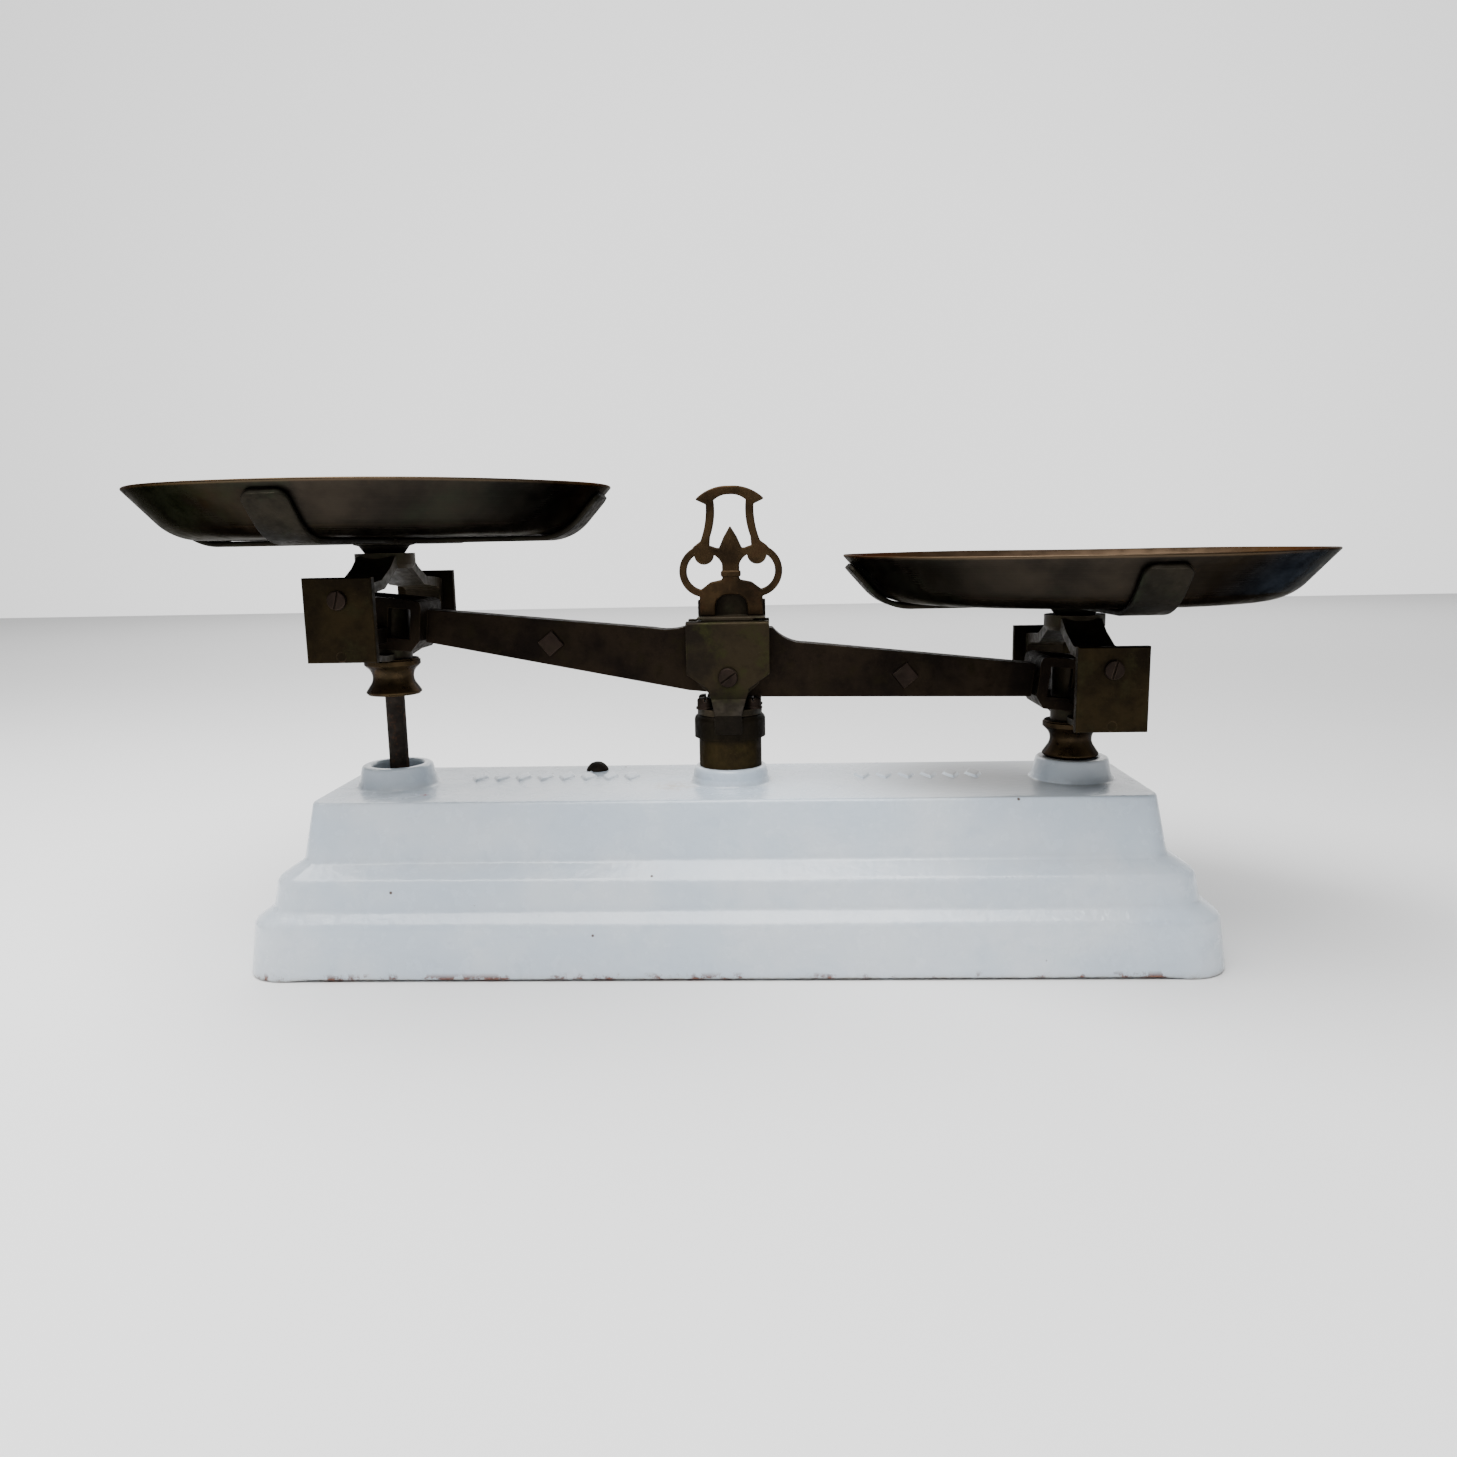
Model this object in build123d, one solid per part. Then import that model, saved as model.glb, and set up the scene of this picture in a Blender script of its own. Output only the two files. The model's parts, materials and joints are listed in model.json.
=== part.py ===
from build123d import *
import math
import os

# Two-pan Roberval balance, millimetres. X runs from the left pan to the right pan, Y runs from
# front to back and Z is up. The origin is the centre of the base's underside.

# ---- linkage ---------------------------------------------------------------------------------
arm = 171.2  # centre knife to end knife, and the same on the counter beam
knife_z = 146.0  # height of the knife line with the beam level
lower_z = 40.0  # height of the counter beam's pivot
rest_tilt = 6.0  # degrees, right side down on its stop
pivot_gap = 0.05  # clearance of knife edges and pins
fit_gap = 0.04  # clearance all round where a rod or a screw passes through a hole
knife_nose = 0.4  # radius of the rounded knife edges, centred on their axes

# ---- base casting ----------------------------------------------------------------------------
base_height = 80.0
top_half_length = 201.4
top_half_depth = 42.8
top_corner_radius = 9.0
corner_growth = 0.45  # plan corner radius gained per millimetre of setback
# each tier stands out from the top's edge by so much along x and along y, at height z
tiers = [(29.8, 25.0, 0.0), (26.7, 22.4, 26.2), (18.4, 16.8, 31.6), (16.0, 14.6, 45.2), (5.0, 5.3, 52.2),
         (0.0, 0.0, 80.0)]
tier_fillets = [4.5, 3.0, 4.5, 3.0, 2.2]
wall = 6.0
foot_relief = 1.0  # the rim is relieved between its four corner feet
foot_length = 28.0
boss_radius = 19.3
boss_top = 91.0
boss_hole_radius = 12.7
pad_radius = 19.0
pad_top = 88.6
dome_x = -73.0  # the round-headed bolt in the far half of the top
dome_y = 30.0
dome_radius = 6.0
dome_rise = 4.6
bolt_radius = 3.0
ornament_half = 10.0  # half the length of the raised lozenges on the top

# ---- column and bearing fork -----------------------------------------------------------------
column_radius = 15.75
collar_radius = 17.8
collar_bottom = 103.5
collar_top = 115.0
spigot_radius = 7.0
spigot_bottom = 56.0
fork_foot_top = 118.0
cheek_in = 7.2  # inner face of each cheek, from the beam's centre plane
cheek_out = 11.0
cheek_top = 159.4
cheek_half_width = 15.0
cheek_foot_half_width = 7.0
bearing_half_width = 5.6
bearing_bottom = 138.0
knife_short = 0.3  # the centre knife stops this far inside the cheeks' outer faces
fork_screw_x = 11.8
fork_screw_y = 6.4

# ---- guard plates, bridge and lyre -----------------------------------------------------------
guard_thickness = 2.5
guard_half_width = 20.4
guard_top = 161.6
lip_in = 7.0  # the bent top reaches in this far from the beam's centre plane
guard_shoulder = 136.0
guard_neck = 128.5
guard_screw_z = 134.3
tongue_out = 20.6  # outer face of the guard plate's tongue, in front of the collar
tongue_top = 116.4
tongue_bottom = 107.2
tongue_half_width = 6.6
bridge_bottom = 162.6
bridge_sill = 1.0  # thickness of the bridge in front of the lyre's feet
bridge_top = 171.5
bridge_half_width = 16.8
backing_top = 180.0
lyre_shift = 1.8  # the lyre and its seat stand a little to the right of the knife
lyre_thickness = 4.0
lyre_top = 226.4
loop_x = 12.7
loop_z = 185.6
loop_outer = 12.4
loop_inner = 9.4
ball_radius = 4.5

# ---- beam ------------------------------------------------------------------------------------
beam_half_thickness = 6.0
beam_end = 150.4  # inner face of the fork head
head_length = 40.0
head_half_depth = 17.0
head_half_height = 12.5
head_bar = 5.0
window_low = -6.5
window_high = 8.0
side_arm_half_width = 5.0
side_arm_end = 57.5
lozenge_x = 88.0
lozenge_half = 6.4
lozenge_proud = 1.6

# ---- pan carriers, measured from their own knife edge ------------------------------------------
plate_in = 61.0
plate_out = 65.0
plate_half_width = 15.7
plate_low = -14.4
plate_high = 23.5
plate_screw_z = 13.4
plate_rivet_z = -11.6
knife_end = 63.3
pocket_bottom = 63.5
pocket_half_width = 6.6
pocket_low = -11.5
bearing_top = 8.6
carrier_boss_radius = 14.5
carrier_boss_low = 28.0
carrier_boss_high = 33.5
leg_half_width = 9.5
hub_radius = 10.2
hub_top = 9.0
vase_top = -18.8
vase_bottom = -36.9
stem_radius = 4.8
tare_radius = 7.0
tare_depth = 19.0

# ---- counter beam bracket ----------------------------------------------------------------------
bracket_thickness = 4.0
bracket_in = 14.0
bracket_out = 17.0
lower_pin_radius = 4.0
foot_pin_radius = 3.0

# ---- pans and their spiders --------------------------------------------------------------------
pan_radius = 113.0
pan_floor = 41.0
pan_depth = 22.3
pan_wall = 1.2
pan_bend = 24.0
pan_flare = 48.0  # degrees above the horizontal at the rim
spider_spigot = 5.0
spider_gap = 0.3
spider_thickness = 2.6
spider_half_width = 10.0
spider_drop = 4.0  # spider tips stop this far below the rim, along the wall
spider_turns = {"left": -4.5, "right": 3.0}  # degrees; each spider has settled at its own angle


def outline_face(*pieces):
    """A face in the XZ plane from joined lines and arcs given as (x, z)."""
    return Plane.XZ * make_face(pieces)


def polygon(points):
    return make_face(Polyline(*points, close=True))


def turned(*pieces):
    """A piece turned about the Z axis from lines and arcs given as (radius, z)."""
    return revolve(outline_face(*pieces), Axis.Z)


def slab(face, y_low, y_high):
    """A face drawn in (x, z) given thickness from y_low to y_high."""
    placed = Pos(0, y_high, 0) * (Plane.XZ * face)
    return extrude(placed, amount=y_high - y_low)


def block(x, y, z):
    """A box between pairs of limits."""
    box = Box(x[1] - x[0], y[1] - y[0], z[1] - z[0])
    return Pos((x[0] + x[1]) / 2, (y[0] + y[1]) / 2, (z[0] + z[1]) / 2) * box


def rod(radius, low, high, at=(0, 0)):
    """An upright cylinder from low to high."""
    return Pos(at[0], at[1], (low + high) / 2) * Cylinder(radius, high - low)


def cross_pin(radius, y_low, y_high, at=(0, 0)):
    """A cylinder along Y through (x, z)."""
    return Pos(at[0], (y_low + y_high) / 2, at[1]) * Rot(90, 0, 0) * Cylinder(radius, y_high - y_low)


def slotted_screw(head_radius, head_height, shank_radius, shank_length, slot_angle=0.0):
    """A cheese-head screw standing on z = 0 with its shank pointing down."""
    head = rod(head_radius, 0, head_height)
    head = fillet(head.edges().sort_by(Axis.Z)[-1], head_height * 0.3)
    slot = Box(2.2 * head_radius, head_radius * 0.24, head_height * 0.8)
    slot = Pos(0, 0, head_height) * Rot(0, 0, slot_angle) * slot
    return head - slot + rod(shank_radius, -shank_length, 0)


def facing(part, side):
    """Turns a piece that stands on z = 0 so that its top faces the front (-1) or the back (+1)."""
    return Rot(-90 * side, 0, 0) * part


def both_faces(make):
    """The front and the back copy of a piece made for one side."""
    return [make(-1), make(1)]


# ---- base --------------------------------------------------------------------------------------
def plinth(inset, top_z, bottom_z):
    """The stepped body, drawn inset from the casting's outside."""
    heights = [bottom_z] + [z for _, _, z in tiers[1:-1]] + [top_z]
    sections = []
    for (out_x, out_y, _), height in zip(tiers, heights):
        half_x = top_half_length + out_x - inset
        half_y = top_half_depth + out_y - inset
        radius = top_corner_radius + corner_growth * out_y - inset * 0.8
        sections.append(Pos(0, 0, height) * RectangleRounded(2 * half_x, 2 * half_y, radius))
    return loft(sections, ruled=True)


def rounded_plinth():
    """The outside of the casting with soft shoulders, as poured iron has."""
    body = plinth(0.0, base_height, 0.0)
    for (_, _, z), radius in zip(tiers[1:], tier_fillets):
        level = body.edges().filter_by(lambda e: e.bounding_box().size.Z < 0.01)
        body = fillet(level.filter_by(lambda e: abs(e.center().Z - z) < 0.01), radius)
    return body


def base_boss(x):
    """A hollow boss that the stem passes through, with a domed lip."""
    lip = boss_radius - 5.3
    shoulder = boss_radius - 1.3
    return Pos(x, 0, 0) * turned(
        Line((0, base_height - 2), (boss_radius + 2.5, base_height - 2)),
        Line((boss_radius + 2.5, base_height - 2), (boss_radius + 2.5, base_height)),
        RadiusArc((boss_radius + 2.5, base_height), (boss_radius, base_height + 2.5), 2.5),
        Line((boss_radius, base_height + 2.5), (shoulder, boss_top - 4.6)),
        RadiusArc((shoulder, boss_top - 4.6), (lip, boss_top), -5.5),
        Line((lip, boss_top), (0, boss_top)),
        Line((0, boss_top), (0, base_height - 2)),
    )


def ornament(x_start, count, pitch, y):
    """A row of plain raised lozenges on the far half of the top."""
    lozenge = polygon([(-4.0, 0), (0, -ornament_half), (4.0, 0), (0, ornament_half)])
    row = []
    for index in range(count):
        at = Pos(x_start + index * pitch, y, base_height - 0.5)
        row.append(at * extrude(lozenge, amount=1.9))
    return row


def base_casting():
    body = rounded_plinth() - plinth(wall, base_height - wall, -1.0)
    for x in (-arm, arm):
        body += base_boss(x)
    body += turned(
        Line((0, base_height - 2), (pad_radius + 3, base_height - 2)),
        Line((pad_radius + 3, base_height - 2), (pad_radius + 3, base_height)),
        RadiusArc((pad_radius + 3, base_height), (pad_radius, base_height + 3), 3.0),
        Line((pad_radius, base_height + 3), (pad_radius - 0.6, pad_top - 2)),
        RadiusArc((pad_radius - 0.6, pad_top - 2), (pad_radius - 2.6, pad_top), -2.0),
        Line((pad_radius - 2.6, pad_top), (0, pad_top)),
        Line((0, pad_top), (0, base_height - 2)),
    )
    for x in (-arm, arm):
        body -= rod(boss_hole_radius, base_height - 15, boss_top + 1, (x, 0))
    body -= rod(spigot_radius + fit_gap, base_height - 15, boss_top + 1)
    body -= rod(bolt_radius + fit_gap, base_height - 15, boss_top + 1, (dome_x, dome_y))
    for piece in ornament(-132.0, 8, 11.4, 12.5) + ornament(67.0, 6, 11.4, 10.0):
        body += piece
    outer_x = top_half_length + tiers[0][0]
    outer_y = top_half_depth + tiers[0][1]
    body -= block((foot_length - outer_x, outer_x - foot_length), (-outer_y, outer_y), (-1, foot_relief))
    body -= block((-outer_x, outer_x), (foot_length - outer_y, outer_y - foot_length), (-1, foot_relief))
    return body


def dome_bolt():
    """A round-headed bolt through the top, with a square nut below."""
    low = base_height - wall - 7
    cap_radius = (dome_radius**2 + dome_rise**2) / (2 * dome_rise)
    return Pos(dome_x, dome_y, 0) * turned(
        Line((0, low), (bolt_radius, low)),
        Line((bolt_radius, low), (bolt_radius, base_height)),
        Line((bolt_radius, base_height), (dome_radius, base_height)),
        RadiusArc((dome_radius, base_height), (0, base_height + dome_rise), -cap_radius),
        Line((0, base_height + dome_rise), (0, low)),
    )


def dome_nut():
    ceiling = base_height - wall
    nut = block((-5.5, 5.5), (-5.5, 5.5), (ceiling - 5, ceiling))
    return Pos(dome_x, dome_y, 0) * (nut - rod(bolt_radius + fit_gap, ceiling - 6, ceiling + 1))


# ---- column, fork and what it carries ------------------------------------------------------------
def column():
    body = turned(
        Line((0, spigot_bottom), (spigot_radius, spigot_bottom)),
        Line((spigot_radius, spigot_bottom), (spigot_radius, pad_top)),
        Line((spigot_radius, pad_top), (column_radius, pad_top)),
        Line((column_radius, pad_top), (column_radius, collar_bottom)),
        Line((column_radius, collar_bottom), (collar_radius, collar_bottom)),
        Line((collar_radius, collar_bottom), (collar_radius, collar_top - 3)),
        RadiusArc((collar_radius, collar_top - 3), (collar_radius - 3, collar_top), -3.0),
        Line((collar_radius - 3, collar_top), (0, collar_top)),
        Line((0, collar_top), (0, spigot_bottom)),
    )
    for x, y in fork_screw_places():
        body -= rod(2.0, collar_top - 9, collar_top + 1, (x, y))
    return body


def fork_screw_places():
    return [(sx * fork_screw_x, sy * fork_screw_y) for sx in (-1, 1) for sy in (-1, 1)]


def column_nut():
    ceiling = base_height - wall - bracket_thickness
    nut = extrude(RegularPolygon(11.0, 6), amount=9.0)
    return Pos(0, 0, ceiling - 9.0) * nut - rod(spigot_radius + fit_gap, spigot_bottom, ceiling + 1)


def bearing_fork():
    """Foot plate and two cheeks with open-topped slots for the centre bearings."""
    foot = rod(16.2, collar_top, fork_foot_top)
    outline = polygon([
        (-cheek_foot_half_width, collar_top + 1),
        (cheek_foot_half_width, collar_top + 1),
        (cheek_foot_half_width, 124.0),
        (cheek_half_width, 131.0),
        (cheek_half_width, cheek_top),
        (-cheek_half_width, cheek_top),
        (-cheek_half_width, 131.0),
        (-cheek_foot_half_width, 124.0),
    ])
    slot = block((-bearing_half_width, bearing_half_width), (-20, 20), (bearing_bottom, cheek_top + 1))
    for side in (-1, 1):
        low, high = sorted((side * cheek_in, side * cheek_out))
        foot += slab(outline, low, high)
        foot -= cross_pin(1.75, low - 1, high + 1, (0, guard_screw_z))
    foot -= slot
    for x, y in fork_screw_places():
        foot -= rod(2.0, collar_top - 1, fork_foot_top + 1, (x, y))
    return foot


def fork_screws():
    screw = slotted_screw(4.1, 4.4, 2.0, 9.0, 90.0)
    washer = rod(4.7, 0, 1.2) - rod(2.0, -1, 2)
    seat = [Pos(x, y, fork_foot_top + 1.2) * screw for x, y in fork_screw_places()]
    washers = [Pos(x, y, fork_foot_top) * washer for x, y in fork_screw_places()]
    return seat, washers


def centre_bearing(side):
    """Steel block with an open V that the centre knife rocks in."""
    slope = math.radians(30)
    apex = knife_z - (knife_nose + pivot_gap) / math.cos(slope)
    rise = bearing_half_width * math.tan(slope)
    outline = polygon([
        (-bearing_half_width, bearing_bottom),
        (bearing_half_width, bearing_bottom),
        (bearing_half_width, apex + rise),
        (0, apex),
        (-bearing_half_width, apex + rise),
    ])
    low, high = sorted((side * cheek_in, side * cheek_out))
    return slab(outline, low, high)


def guard_plate(side):
    """Shield over a cheek and the knife's end, with a bent top and a tongue in front of the collar."""
    shield = polygon([
        (-guard_half_width, guard_shoulder),
        (-9.9, guard_neck),
        (-9.9, 127.0),
        (-8.7, 123.5),
        (8.7, 123.5),
        (9.9, 127.0),
        (9.9, guard_neck),
        (guard_half_width, guard_shoulder),
        (guard_half_width, guard_top - 2),
        (-guard_half_width, guard_top - 2),
    ])
    face = cheek_out + guard_thickness
    plate = slab(shield, -face, -cheek_out)
    lip = [(-face, guard_top - 2), (-lip_in, guard_top - 2), (-lip_in, guard_top),
           (-face + 2, guard_top), (-face + 0.6, guard_top - 0.6)]
    plate += extrude(Plane.YZ * polygon(lip), amount=guard_half_width, both=True)
    inner = tongue_out - guard_thickness
    tail = [(-face, 123.5), (-tongue_out, tongue_top), (-tongue_out, tongue_bottom), (-inner, tongue_bottom),
            (-inner, tongue_top + 0.6), (-cheek_out, 124.1), (-cheek_out, 126.0), (-face, 126.0)]
    bent = extrude(Plane.YZ * polygon(tail), amount=12.0, both=True)
    narrowing = polygon([(-9.4, 126.0), (-8.7, 123.5), (-tongue_half_width, tongue_top),
                         (-tongue_half_width, tongue_bottom), (tongue_half_width, tongue_bottom),
                         (tongue_half_width, tongue_top), (8.7, 123.5), (9.4, 126.0)])
    plate += bent & slab(narrowing, -30, 0)
    plate -= cross_pin(1.75, -face - 1, 0, (0, guard_screw_z))
    return plate if side < 0 else mirror(plate, about=Plane.XZ)


def guard_screw(side):
    screw = facing(slotted_screw(4.7, 2.2, 1.75, guard_thickness + 3.6, 35.0), side)
    return Pos(0, side * (cheek_out + guard_thickness), guard_screw_z) * screw


def bridge():
    """Block on top of the cheeks with a seat for the lyre."""
    half = bridge_half_width
    limits = (lyre_shift - half, lyre_shift + half)
    body = block(limits, (-cheek_out, cheek_out), (bridge_bottom, bridge_bottom + bridge_sill))
    body += block(limits, (lyre_thickness / 2, cheek_out - 3), (bridge_bottom, bridge_top))
    backing = (lyre_shift - 8.5, lyre_shift + 8.5)
    body += block(backing, (lyre_thickness / 2, cheek_out - 5), (bridge_bottom, backing_top))
    for side in (-1, 1):
        low, high = sorted((side * cheek_in, side * cheek_out))
        body += block((-half + 4, half - 4), (low, high), (cheek_top, bridge_bottom + 0.5))
    return body - lips_clearance()


def lips_clearance():
    """Room for the bent lips of the two guard plates."""
    room = block((-30, 30), (-cheek_out - 9, -lip_in), (cheek_top, guard_top))
    return room + mirror(room, about=Plane.XZ)


def lyre_half():
    """Right half of the lyre, as a face in (x, z) that reaches the centre line."""
    ring = Pos(loop_x, loop_z) * (Circle(loop_outer) - Circle(loop_inner))
    ball = Pos(13.0, 193.6) * Circle(ball_radius)
    seat = bridge_bottom + bridge_sill
    foot = polygon([(8.2, seat), (15.3, seat), (15.3, 176.0), (10.0, 180.0),
                    (0, 182.0), (0, 174.4), (4.4, 174.0), (7.4, 171.6), (8.2, 168.6)])
    post = make_face([
        Line((10.6, 197.6), (14.8, 199.2)),
        ThreePointArc((14.8, 199.2), (12.1, 208.0), (11.5, 219.4)),
        Line((11.5, 219.4), (8.1, 219.4)),
        ThreePointArc((8.1, 219.4), (8.6, 208.0), (10.2, 202.4)),
        Line((10.2, 202.4), (10.6, 197.6)),
    ])
    shoulder = polygon([(10.6, 197.0), (10.8, 202.4), (13.2, 201.0), (17.8, 197.6), (20.0, 194.6),
                        (14.0, 193.0)])
    cap = make_face([
        Line((0, lyre_top), (0, 222.9)),
        ThreePointArc((0, 222.9), (5.6, 221.8), (9.6, 218.4)),
        Line((9.6, 218.4), (11.6, 218.2)),
        Line((11.6, 218.2), (16.4, 220.4)),
        ThreePointArc((16.4, 220.4), (8.6, 225.2), (0, lyre_top)),
    ])
    spear = polygon([(0, 207.0), (2.9, 202.2), (5.4, 196.6), (4.0, 192.8), (3.8, 178.0), (0, 178.0)])
    strip = polygon([(3.0, 194.0), (11.0, 194.6), (11.0, 197.0), (3.0, 196.4)])
    return ring + ball + foot + post + shoulder + cap + spear + strip


def lyre():
    """The cast lyre with its spearhead, standing on the bridge."""
    right = slab(lyre_half(), -lyre_thickness / 2, lyre_thickness / 2)
    body = right + mirror(right, about=Plane.YZ)
    band = block((-4.6, 4.6), (-lyre_thickness / 2 - 0.8, lyre_thickness / 2 + 0.8), (183.2, 185.4))
    return Pos(lyre_shift, 0, 0) * (body + band)


def lower_bracket():
    """U bracket clamped under the top, which holds the counter beam's pivot."""
    ceiling = base_height - wall
    body = block((-22, 22), (-bracket_out, bracket_out), (ceiling - bracket_thickness, ceiling))
    body -= rod(spigot_radius + fit_gap, ceiling - 10, ceiling + 1)
    ear = polygon([(-18, ceiling - 2), (-8, lower_z - 4), (-5, lower_z - 8), (5, lower_z - 8),
                   (8, lower_z - 4), (18, ceiling - 2)])
    for side in (-1, 1):
        low, high = sorted((side * bracket_in, side * bracket_out))
        body += slab(ear, low, high)
    return body - cross_pin(lower_pin_radius + fit_gap, -bracket_out - 1, bracket_out + 1, (0, lower_z))


def lower_pivot_pin():
    """Headed pin of the counter beam's pivot."""
    head = cross_pin(6.0, -bracket_out - 2, -bracket_out, (0, lower_z))
    tail = cross_pin(5.4, bracket_out, bracket_out + 1.6, (0, lower_z))
    return head + tail + cross_pin(lower_pin_radius, -bracket_out, bracket_out, (0, lower_z))


# ---- beam, drawn level with its centre knife at the origin --------------------------------------
def beam_outline():
    """Side outline of the bar: humped at the centre and tapering to both ends."""
    return make_face([
        Line((-beam_end, -8.4), (-18.0, -20.6)),
        Line((-18.0, -20.6), (18.0, -20.6)),
        Line((18.0, -20.6), (beam_end, -8.4)),
        Line((beam_end, -8.4), (beam_end, 7.7)),
        Line((beam_end, 7.7), (38.0, 7.9)),
        ThreePointArc((38.0, 7.9), (28.4, 9.0), (20.7, 13.9)),
        Line((20.7, 13.9), (-16.5, 13.9)),
        ThreePointArc((-16.5, 13.9), (-24.0, 10.0), (-38.0, 8.4)),
        Line((-38.0, 8.4), (-beam_end, 7.7)),
        Line((-beam_end, 7.7), (-beam_end, -8.4)),
    ])


def fork_head():
    """Right-hand fork head: a windowed cage round the stem, with an arm to each end knife."""
    outline = polygon([
        (beam_end, -7.0),
        (beam_end + 4.0, -head_half_height),
        (beam_end + head_length, -head_half_height),
        (beam_end + head_length, head_half_height),
        (beam_end + 3.0, head_half_height),
        (beam_end + 0.9, head_half_height - 0.9),
        (beam_end, head_half_height - 3.0),
    ])
    cage = slab(outline, -head_half_depth, head_half_depth)
    inner = head_half_depth - head_bar
    stem_way = block((beam_end + head_bar, beam_end + head_length - head_bar), (-inner, inner), (-20, 20))
    cage -= stem_way
    post = 5.0
    for x_low, x_high in ((beam_end + head_bar, arm - post), (arm + post, beam_end + head_length - head_bar)):
        cage -= block((x_low, x_high), (-20, 20), (window_low, window_high))
    half = side_arm_half_width
    for side in (-1, 1):
        low, high = sorted((side * (head_half_depth - 1), side * side_arm_end))
        cage += block((arm - half, arm + half), (low, high), (-9.0, -1.4))
    return cage


def knife_outline(height, depth):
    """A wedge with a rounded edge at the origin, pointing down and as deep as height plus depth."""
    wedge = polygon([(-knife_nose, 0), (knife_nose, 0), (3.4, height), (3.4, height + depth),
                     (-3.4, height + depth), (-3.4, height)])
    return wedge + Circle(knife_nose)


def end_knives():
    """Steel knives at both ends of the right-hand head, edges up."""
    wedge = Pos(arm, 0) * Rot(0, 0, 180) * knife_outline(6.0, 2.0)
    return [slab(wedge, -knife_end, -side_arm_end + 14), slab(wedge, side_arm_end - 14, knife_end)]


def centre_knife():
    """Steel knife through the beam, edge down."""
    half = cheek_out - knife_short
    return slab(knife_outline(6.2, 3.4), -half, half)


def lozenge_studs():
    """Diamond-shaped studs let into the bar, standing proud of both faces."""
    diamond = polygon([(-lozenge_half, 0), (0, -lozenge_half), (lozenge_half, 0), (0, lozenge_half)])
    depth = beam_half_thickness + lozenge_proud
    studs = []
    for x in (-lozenge_x, lozenge_x):
        studs.append(Pos(x, 0, -3.5) * slab(diamond, -depth, depth))
    return studs


def beam_body():
    bar = slab(beam_outline(), -beam_half_thickness, beam_half_thickness)
    head = fork_head()
    bar = bar + head + mirror(head, about=Plane.YZ)
    for cutter in [centre_knife()] + end_knives() + [mirror(k, about=Plane.YZ) for k in end_knives()]:
        bar -= cutter
    for stud in lozenge_studs():
        bar -= stud
    return bar


# ---- pan carrier, drawn about its own knife edge --------------------------------------------------
def top_yoke():
    """Round boss with two legs that reach down behind the side plates."""
    body = turned(
        Line((0, carrier_boss_low - 2), (carrier_boss_radius - 1.5, carrier_boss_low - 2)),
        Line((carrier_boss_radius - 1.5, carrier_boss_low - 2), (carrier_boss_radius, carrier_boss_low)),
        Line((carrier_boss_radius, carrier_boss_low), (carrier_boss_radius, carrier_boss_high)),
        Line((carrier_boss_radius, carrier_boss_high), (0, carrier_boss_high)),
        Line((0, carrier_boss_high), (0, carrier_boss_low - 2)),
    )
    leg = polygon([(0, 27.0), (11.0, 26.2), (30.0, 17.0), (52.0, 15.0), (56.0, 13.0), (56.0, 6.0),
                   (plate_in, 6.0), (plate_in, 19.0), (56.0, 19.8), (34.0, 21.2), (21.0, 26.6), (13.0, 32.0),
                   (0, 32.0)])
    half = extrude(Plane.YZ * leg, amount=leg_half_width, both=True)
    body = body + half + mirror(half, about=Plane.XZ)
    body -= rod(spider_spigot + fit_gap, 20, 40)
    return body - plate_fasteners(plate_screw_z, plate_screw())


def plate_screw():
    return slotted_screw(4.2, 1.6, 2.0, 7.6, 75.0)


def plate_rivet():
    """Flush rivet, drawn like a screw with no proud head."""
    return rod(2.2, -7.0, 0)


def plate_fasteners(z, piece):
    return Part() + [Pos(0, side * plate_out, z) * facing(piece, side) for side in (-1, 1)]


def side_plate(side):
    """Square plate with a pocket for its bearing and the end of the knife."""
    low, high = sorted((side * plate_in, side * plate_out))
    body = block((-plate_half_width, plate_half_width), (low, high), (plate_low, plate_high))
    outer = side * plate_out
    rim = body.edges().filter_by(lambda e: abs(e.center().Y - outer) < 0.01)
    body = fillet(rim, 0.9)
    low, high = sorted((side * (plate_in - 1), side * pocket_bottom))
    body -= block((-pocket_half_width, pocket_half_width), (low, high), (pocket_low, bearing_top))
    body -= plate_fasteners(plate_screw_z, plate_screw())
    return body - plate_fasteners(plate_rivet_z, plate_rivet())


def end_bearing(side):
    """Steel block with an inverted V that rests on the knife's edge."""
    slope = math.radians(30)
    apex = (knife_nose + pivot_gap) / math.cos(slope)
    edge = apex - pocket_half_width * math.tan(slope)
    outline = polygon([
        (0, apex),
        (pocket_half_width, edge),
        (pocket_half_width, bearing_top),
        (-pocket_half_width, bearing_top),
        (-pocket_half_width, edge),
    ])
    low, high = sorted((side * plate_in, side * pocket_bottom))
    return slab(outline, low, high)


def lower_yoke():
    """Hub inside the fork head, with a cup for tare and two shallow legs to the plates."""
    body = rod(hub_radius, vase_top, hub_top)
    leg = polygon([(0, vase_top), (18.0, vase_top), (56.0, -14.6), (plate_in, -14.0), (plate_in, -10.6),
                   (20.0, -15.8), (0, -15.8)])
    half = extrude(Plane.YZ * leg, amount=4.8, both=True)
    body = body + half + mirror(half, about=Plane.XZ)
    body -= rod(stem_radius + fit_gap, vase_top - 1, -12.0)
    body -= rod(tare_radius, hub_top - tare_depth, hub_top + 1)
    body -= plate_fasteners(plate_rivet_z, plate_rivet())
    return body


def tare_plug():
    return rod(tare_radius, hub_top - tare_depth, hub_top - 0.5)


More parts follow.
